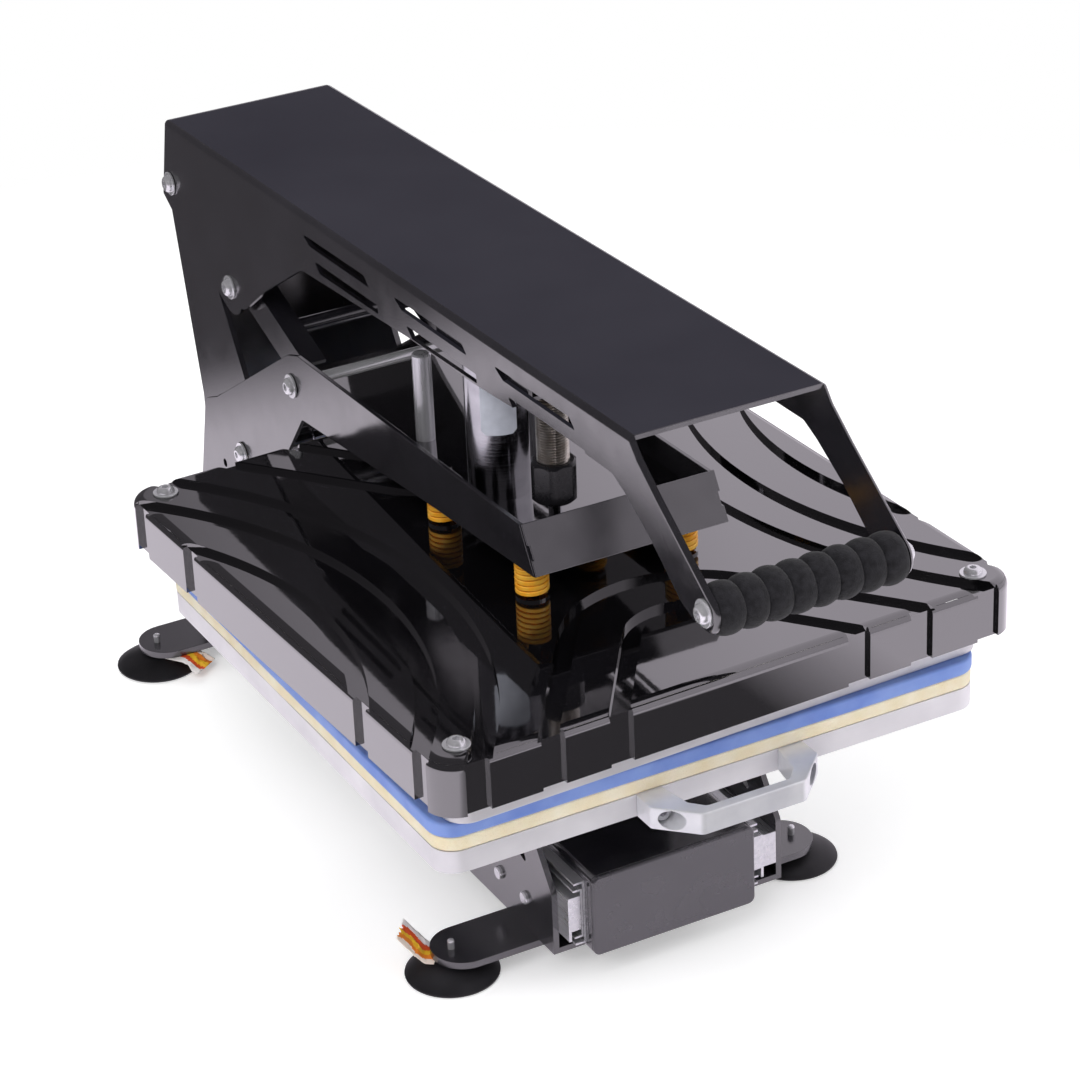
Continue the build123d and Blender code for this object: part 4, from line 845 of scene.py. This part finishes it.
# %% [markdown]
# ## Foam and silicone pads
# A cut slab of foam bulges a little at its sides under the weight of the hot plate. Each slab
# is built as rings of a rounded rectangle, drawn in at the top and bottom edge along a quarter
# circle, with a low wave along the side as in a sheet that was cut with a knife.

# %% Pads
pad_edge, pad_wave = 0.0018, 0.0006
least_corner, ripples_per_metre, edge_steps = 0.0005, 14, 5


def outline_ring(half_x, half_y, corner, inset, per_corner=10, per_side=48):
    """Points round a rectangle with round corners, drawn in by an inset."""
    radius = max(corner - inset, least_corner)
    reach_x, reach_y = half_x - inset - radius, half_y - inset - radius
    centres = ((reach_x, reach_y), (-reach_x, reach_y), (-reach_x, -reach_y), (reach_x, -reach_y))
    corners = []
    for quarter, (x, y) in enumerate(centres):
        for step in range(per_corner + 1):
            angle = math.pi / 2 * (quarter + step / per_corner)
            corners.append((x + radius * math.cos(angle), y + radius * math.sin(angle)))
    ring = []
    count = per_corner + 1
    for quarter in range(4):
        ring += corners[quarter * count:(quarter + 1) * count]
        start = Vector(corners[(quarter + 1) * count - 1])
        end = Vector(corners[(quarter + 1) * count % len(corners)])
        ring += [tuple(start.lerp(end, step / per_side)) for step in range(1, per_side)]
    return ring


def pad_shape(node_name, corner, seed):
    """A soft slab as large as its CAD node, with round edges and slightly wavy sides."""
    low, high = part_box(node_name)
    half_x, half_y = (high.x - low.x) / 2, (high.y - low.y) / 2
    turns = [math.pi / 2 * step / edge_steps for step in range(edge_steps + 1)]
    levels = [(pad_edge * (1 - math.sin(a)), pad_edge * (1 - math.cos(a))) for a in turns]
    rows = [(inset, low.z + rise) for inset, rise in levels]
    rows += [(inset, high.z - rise) for inset, rise in reversed(levels)]
    shape = bmesh.new()
    rings = []
    for inset, height in rows:
        ring = []
        for x, y in outline_ring(half_x, half_y, corner, inset):
            spot = Vector((x * ripples_per_metre, y * ripples_per_metre, seed))
            share = 1 + pad_wave * (noise.noise(spot) - 1) / half_x
            ring.append(shape.verts.new((x * share, y * share + plate_middle.y, height)))
        rings.append(ring)
    for below, above in zip(rings, rings[1:]):
        for step in range(len(below)):
            after = (step + 1) % len(below)
            shape.faces.new((below[step], below[after], above[after], above[step]))
    shape.faces.new(rings[-1])
    shape.faces.new(list(reversed(rings[0])))
    return shape


for name, made, corner, slot, seed in (
    ("foam_pad", cream_foam, 0.0158, "foam_cream", 1.0),
    ("silicone_pad", blue_silicone, 0.017, "silicone_blue", 5.0),
):
    pad = joined(name + "_soft", [(pad_shape(name, corner, seed), Matrix())])
    piece = place_piece(name + "_soft", pad, "drawer", [made])
    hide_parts(name)
    print(name, "points", len(pad.vertices))

# %% [markdown]
# ## Die springs
# Die springs are wound from wire with flat sides, so that the turns nearly close. The section
# is a rectangle with blunt corners, carried along a helix point by point. The springs hang
# between the head and the arm: as the head floats up they grow shorter, but here each spring
# rides with the head as one fixed shape.

# %% Springs
def spring_shape(radius, low, high, turns, half_wide, half_tall, blunt, steps=40):
    """A helix of flat wire between two levels, with closed ends."""
    section = [(-half_wide + blunt, -half_tall), (half_wide - blunt, -half_tall),
               (half_wide, -half_tall + blunt), (half_wide, half_tall - blunt),
               (half_wide - blunt, half_tall), (-half_wide + blunt, half_tall),
               (-half_wide, half_tall - blunt), (-half_wide, -half_tall + blunt)]
    shape = bmesh.new()
    rings = []
    total = int(turns * steps)
    for step in range(total + 1):
        angle = 2 * math.pi * step / steps
        along, across = math.cos(angle), math.sin(angle)
        height = low + half_tall + (high - low - 2 * half_tall) * step / total
        rings.append([
            shape.verts.new(((radius + out) * along, (radius + out) * across, height + rise))
            for out, rise in section
        ])
    for before, after in zip(rings, rings[1:]):
        for corner in range(len(section)):
            beside = (corner + 1) % len(section)
            shape.faces.new((before[corner], before[beside], after[beside], after[corner]))
    shape.faces.new(rings[0])
    shape.faces.new(list(reversed(rings[-1])))
    bmesh.ops.recalc_face_normals(shape, faces=shape.faces)
    return shape


spring_low, spring_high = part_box("hanger_springs")
spring_radius, wire_half_wide, wire_half_tall = 0.0096, 0.0012, 0.00145
wire_blunt, spring_turns = 0.0004, 7.6
hanger_inset, space_above = 0.011, 0.0035
hanger_x = spring_high.x - hanger_inset
hanger_ys = (spring_low.y + hanger_inset, spring_high.y - hanger_inset)
spring_top = spring_high.z - space_above
hangers = [(x, y) for x in (-hanger_x, hanger_x) for y in hanger_ys]
for index, (x, y) in enumerate(hangers):
    helix = spring_shape(spring_radius, spring_low.z, spring_top, spring_turns,
                         wire_half_wide, wire_half_tall, wire_blunt)
    name = f"die_spring_{index + 1}"
    mesh = joined(name, [(helix, Matrix.Translation((x, y, 0)))])
    spring = place_piece(name, mesh, "head", [spring_yellow])
    if index == 0:
        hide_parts("hanger_springs")
    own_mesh(spring)
print("springs", len(hangers), "height", round(spring_top - spring_low.z, 4))

# %% [markdown]
# ## The damper's thread
# The damper's barrel is one long fine thread. A real thread is a helix, so each point's radius
# depends on its height and on its angle together. A triangle wave of that sum draws the ridge.

# %% Damper barrel
barrel_low, barrel_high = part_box("damper_body")
nut_low, nut_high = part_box("damper_nut")
barrel_x, barrel_y = (nut_low.x + nut_high.x) / 2, (nut_low.y + nut_high.y) / 2
barrel_radius, thread_depth, thread_pitch = 0.0103, 0.0009, 0.0018
rows_per_turn, thread_steps = 6, 48
rows = int((barrel_high.z - barrel_low.z) / thread_pitch * rows_per_turn)
levels = [barrel_low.z + row * thread_pitch / rows_per_turn for row in range(rows + 1)]
barrel = turned_shape(
    [(0, barrel_low.z)] + [(barrel_radius, level) for level in levels] + [(0, levels[-1])],
    steps=thread_steps,
)
for vertex in barrel.verts:
    reach = vertex.co.xy.length
    if reach > on_axis:
        around = math.atan2(vertex.co.y, vertex.co.x) / (2 * math.pi)
        turn = (vertex.co.z / thread_pitch - around) % 1
        ridge = 1 - abs(2 * turn - 1)
        vertex.co.xy *= (barrel_radius - thread_depth * (1 - ridge)) / reach
bracket_thickness = 0.003
lock_radius, lock_face, lock_height, lock_chamfer = 0.015, 0.0138, 0.006, 0.0008
lock_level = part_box("magnet_bracket")[0].z + bracket_thickness
lock = turned_shape([(0, lock_level), (lock_face, lock_level),
                     (lock_radius, lock_level + lock_chamfer),
                     (lock_radius, lock_level + (lock_height - lock_chamfer)),
                     (lock_face, lock_level + lock_height),
                     (0, lock_level + lock_height)], (1, 2, 3, 4))
barrel_place = Matrix.Translation((barrel_x, barrel_y, 0))
damper_mesh = joined("damper_barrel", [(barrel, barrel_place), (lock, barrel_place)])
damper = place_piece("damper_barrel", damper_mesh, "lever", [thread_zinc])
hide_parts("damper_body")
print("thread rows", rows)

# %% [markdown]
# ## The magnet's label
# A blank white label is wrapped round part of the magnet. It follows the same cylinder, a few
# hundredths of a millimetre further out, and its corners are rounded. Its colour is a blue grey
# rather than white: painted shade, for the shade that the label lies in.

# %% Magnet label
magnet_low, magnet_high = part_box("magnet_armature")
magnet_middle = (magnet_low + magnet_high) / 2
label_lift, label_from, label_to = 0.00006, 0.011, 0.05
label_radius = (magnet_high.x - magnet_low.x) / 2 + label_lift
label_low, label_high = magnet_high.z + label_from, magnet_high.z + label_to
label_centre, label_half = math.radians(-113), math.radians(34)
label_corner = 0.003
label_columns, label_rows = 40, 16
wrap = bmesh.new()
grid = []
for row in range(label_rows + 1):
    height = label_low + (label_high - label_low) * row / label_rows
    from_end = min(height - label_low, label_high - height)
    into_corner = max(label_corner - from_end, 0)
    cut = label_corner - math.sqrt(max(label_corner ** 2 - into_corner ** 2, 0))
    half = label_half - cut / label_radius
    grid.append([
        wrap.verts.new((
            label_radius * math.cos(label_centre + half * (2 * column / label_columns - 1)),
            label_radius * math.sin(label_centre + half * (2 * column / label_columns - 1)),
            height,
        ))
        for column in range(label_columns + 1)
    ])
for below, above in zip(grid, grid[1:]):
    for column in range(label_columns):
        wrap.faces.new((below[column], below[column + 1], above[column + 1], above[column]))
label_place = Matrix.Translation((magnet_middle.x, magnet_middle.y, 0))
place_piece("magnet_label", joined("magnet_label", [(wrap, label_place)]), "lever", [label_with_painted_shade])
print("label height", round(label_high - label_low, 3))

# %% [markdown]
# ## Suction cups
# A suction cup is a thin disc of rubber that bells out from a short neck. The outline follows
# the CAD cup, with a softly rounded lip and shoulder, so that the lip draws one thin highlight.

# %% Suction cups
cup_low, cup_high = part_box("suction_cups")
cup_radius, cup_height, cup_neck = 0.031, 0.013, 0.009
cup_outline = [(0, 0.003), (0.018, 0.002), (0.023, 0.0012), (0.025, 0), (0.0302, 0),
               (0.0308, 0.0004), (cup_radius, 0.001), (0.0308, 0.0017), (0.0295, 0.0026),
               (0.027, 0.0045), (0.0225, 0.0064), (0.018, 0.0082), (0.0145, 0.0096),
               (0.0118, 0.0103), (0.0098, 0.0106), (cup_neck, 0.011), (cup_neck, cup_height),
               (0, cup_height)]
shapes = [(turned_shape(cup_outline, steps=72), Matrix.Translation((x, y, 0)))
          for x in (cup_low.x + cup_radius, cup_high.x - cup_radius)
          for y in (cup_low.y + cup_radius, cup_high.y - cup_radius)]
cups = place_piece("suction_cups_turned", joined("suction_cups_turned", shapes), "base",
                   [cup_rubber])
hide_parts("suction_cups")
print("cups", len(shapes))

# %% [markdown]
# ## Crumpled tags
# Two of the cups still hold a paper tag, caught under the foot bar. A tag is a small grid of
# points that lies flat under the bar and bends up or down past its edge. Ridged noise gives it
# the sharp folds of crushed paper, and a Solidify modifier its thickness. Its bands of orange
# and yellow between white edges follow from the place on the sheet, kept as a colour attribute.

# %% Tags
tag_wide, tag_level, tag_start, least_level = 0.023, 0.0122, 0.0094, 0.0016
crush_out, crush_up, flare, bend_power = 0.0018, 0.0022, 0.12, 1.2
tag_columns, tag_rows, tag_thickness = 22, 26, 0.0003
# Place along the press, turn in degrees, the bar's edge, reach past it, and rise or fall.
tag_turns = ((cup_low.y + cup_radius, 142, 0.015, 0.017, 0.017),
             (cup_high.y - cup_radius, -55, 0.028, 0.013, -0.0075))
tag_colours = [(*paint(code), 1) for code in ("f6f0ee", "e2552a", "f8c232", "f08a2c", "f6e6da")]


def tag_sheet(edge, reach, rise, seed):
    """A crushed sheet that runs out from a cup's neck and bends past the bar's edge."""
    sheet = bmesh.new()
    colour = sheet.loops.layers.float_color.new("shade")
    grid = []
    for row in range(tag_rows + 1):
        share = row / tag_rows
        out = tag_start + (edge + reach - tag_start) * share
        bend = max(0.0, out - edge) / reach
        line = []
        for column in range(tag_columns + 1):
            across = column / tag_columns - 0.5
            crush = noise.ridged_multi_fractal(
                Vector((share * 4, across * 5, seed)), 0.9, 2.0, 3, 1.0, 2.0) - 1.0
            fold = min(bend * 3, 1) * crush
            wider = 1 + flare * bend * noise.noise(Vector((seed, share * 3, 0)))
            line.append(sheet.verts.new((
                out + crush_out * fold * bend,
                across * tag_wide * wider,
                max(tag_level + rise * bend ** bend_power + crush_up * fold, least_level),
            )))
        grid.append(line)
    for row, (before, after) in enumerate(zip(grid, grid[1:])):
        for column in range(tag_columns):
            face = sheet.faces.new(
                (before[column], before[column + 1], after[column + 1], after[column]))
            bands = len(tag_colours)
            wander = 0.3 * math.sin(row * 0.4)
            band = min(int(column / tag_columns * bands + wander), bands - 1)
            for corner in face.loops:
                corner[colour] = tag_colours[max(band, 0)]
    return sheet


shapes = []
for seed, (y, turn, edge, reach, rise) in enumerate(tag_turns):
    swing = Matrix.Rotation(math.radians(turn), 4, "Z")
    shapes.append((tag_sheet(edge, reach, rise, seed * 7.0),
                   Matrix.Translation((cup_low.x + cup_radius, y, 0)) @ swing))
printed = finish("tag_print", "f28a2a", 0.5)
shade = node(printed.node_tree, "Attribute")
shade.attribute_name = "shade"
printed.node_tree.links.new(shade.outputs["Color"], shader_of(printed).inputs["Base Color"])
relief(printed, cloud(printed, 0.002), 0.0002)
tags = place_piece("crumpled_tags", joined("crumpled_tags", shapes), "base", [printed])
paper_body = tags.modifiers.new("paper", "SOLIDIFY")
paper_body.thickness = tag_thickness
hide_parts("foot_tags")
print("tags", len(shapes))
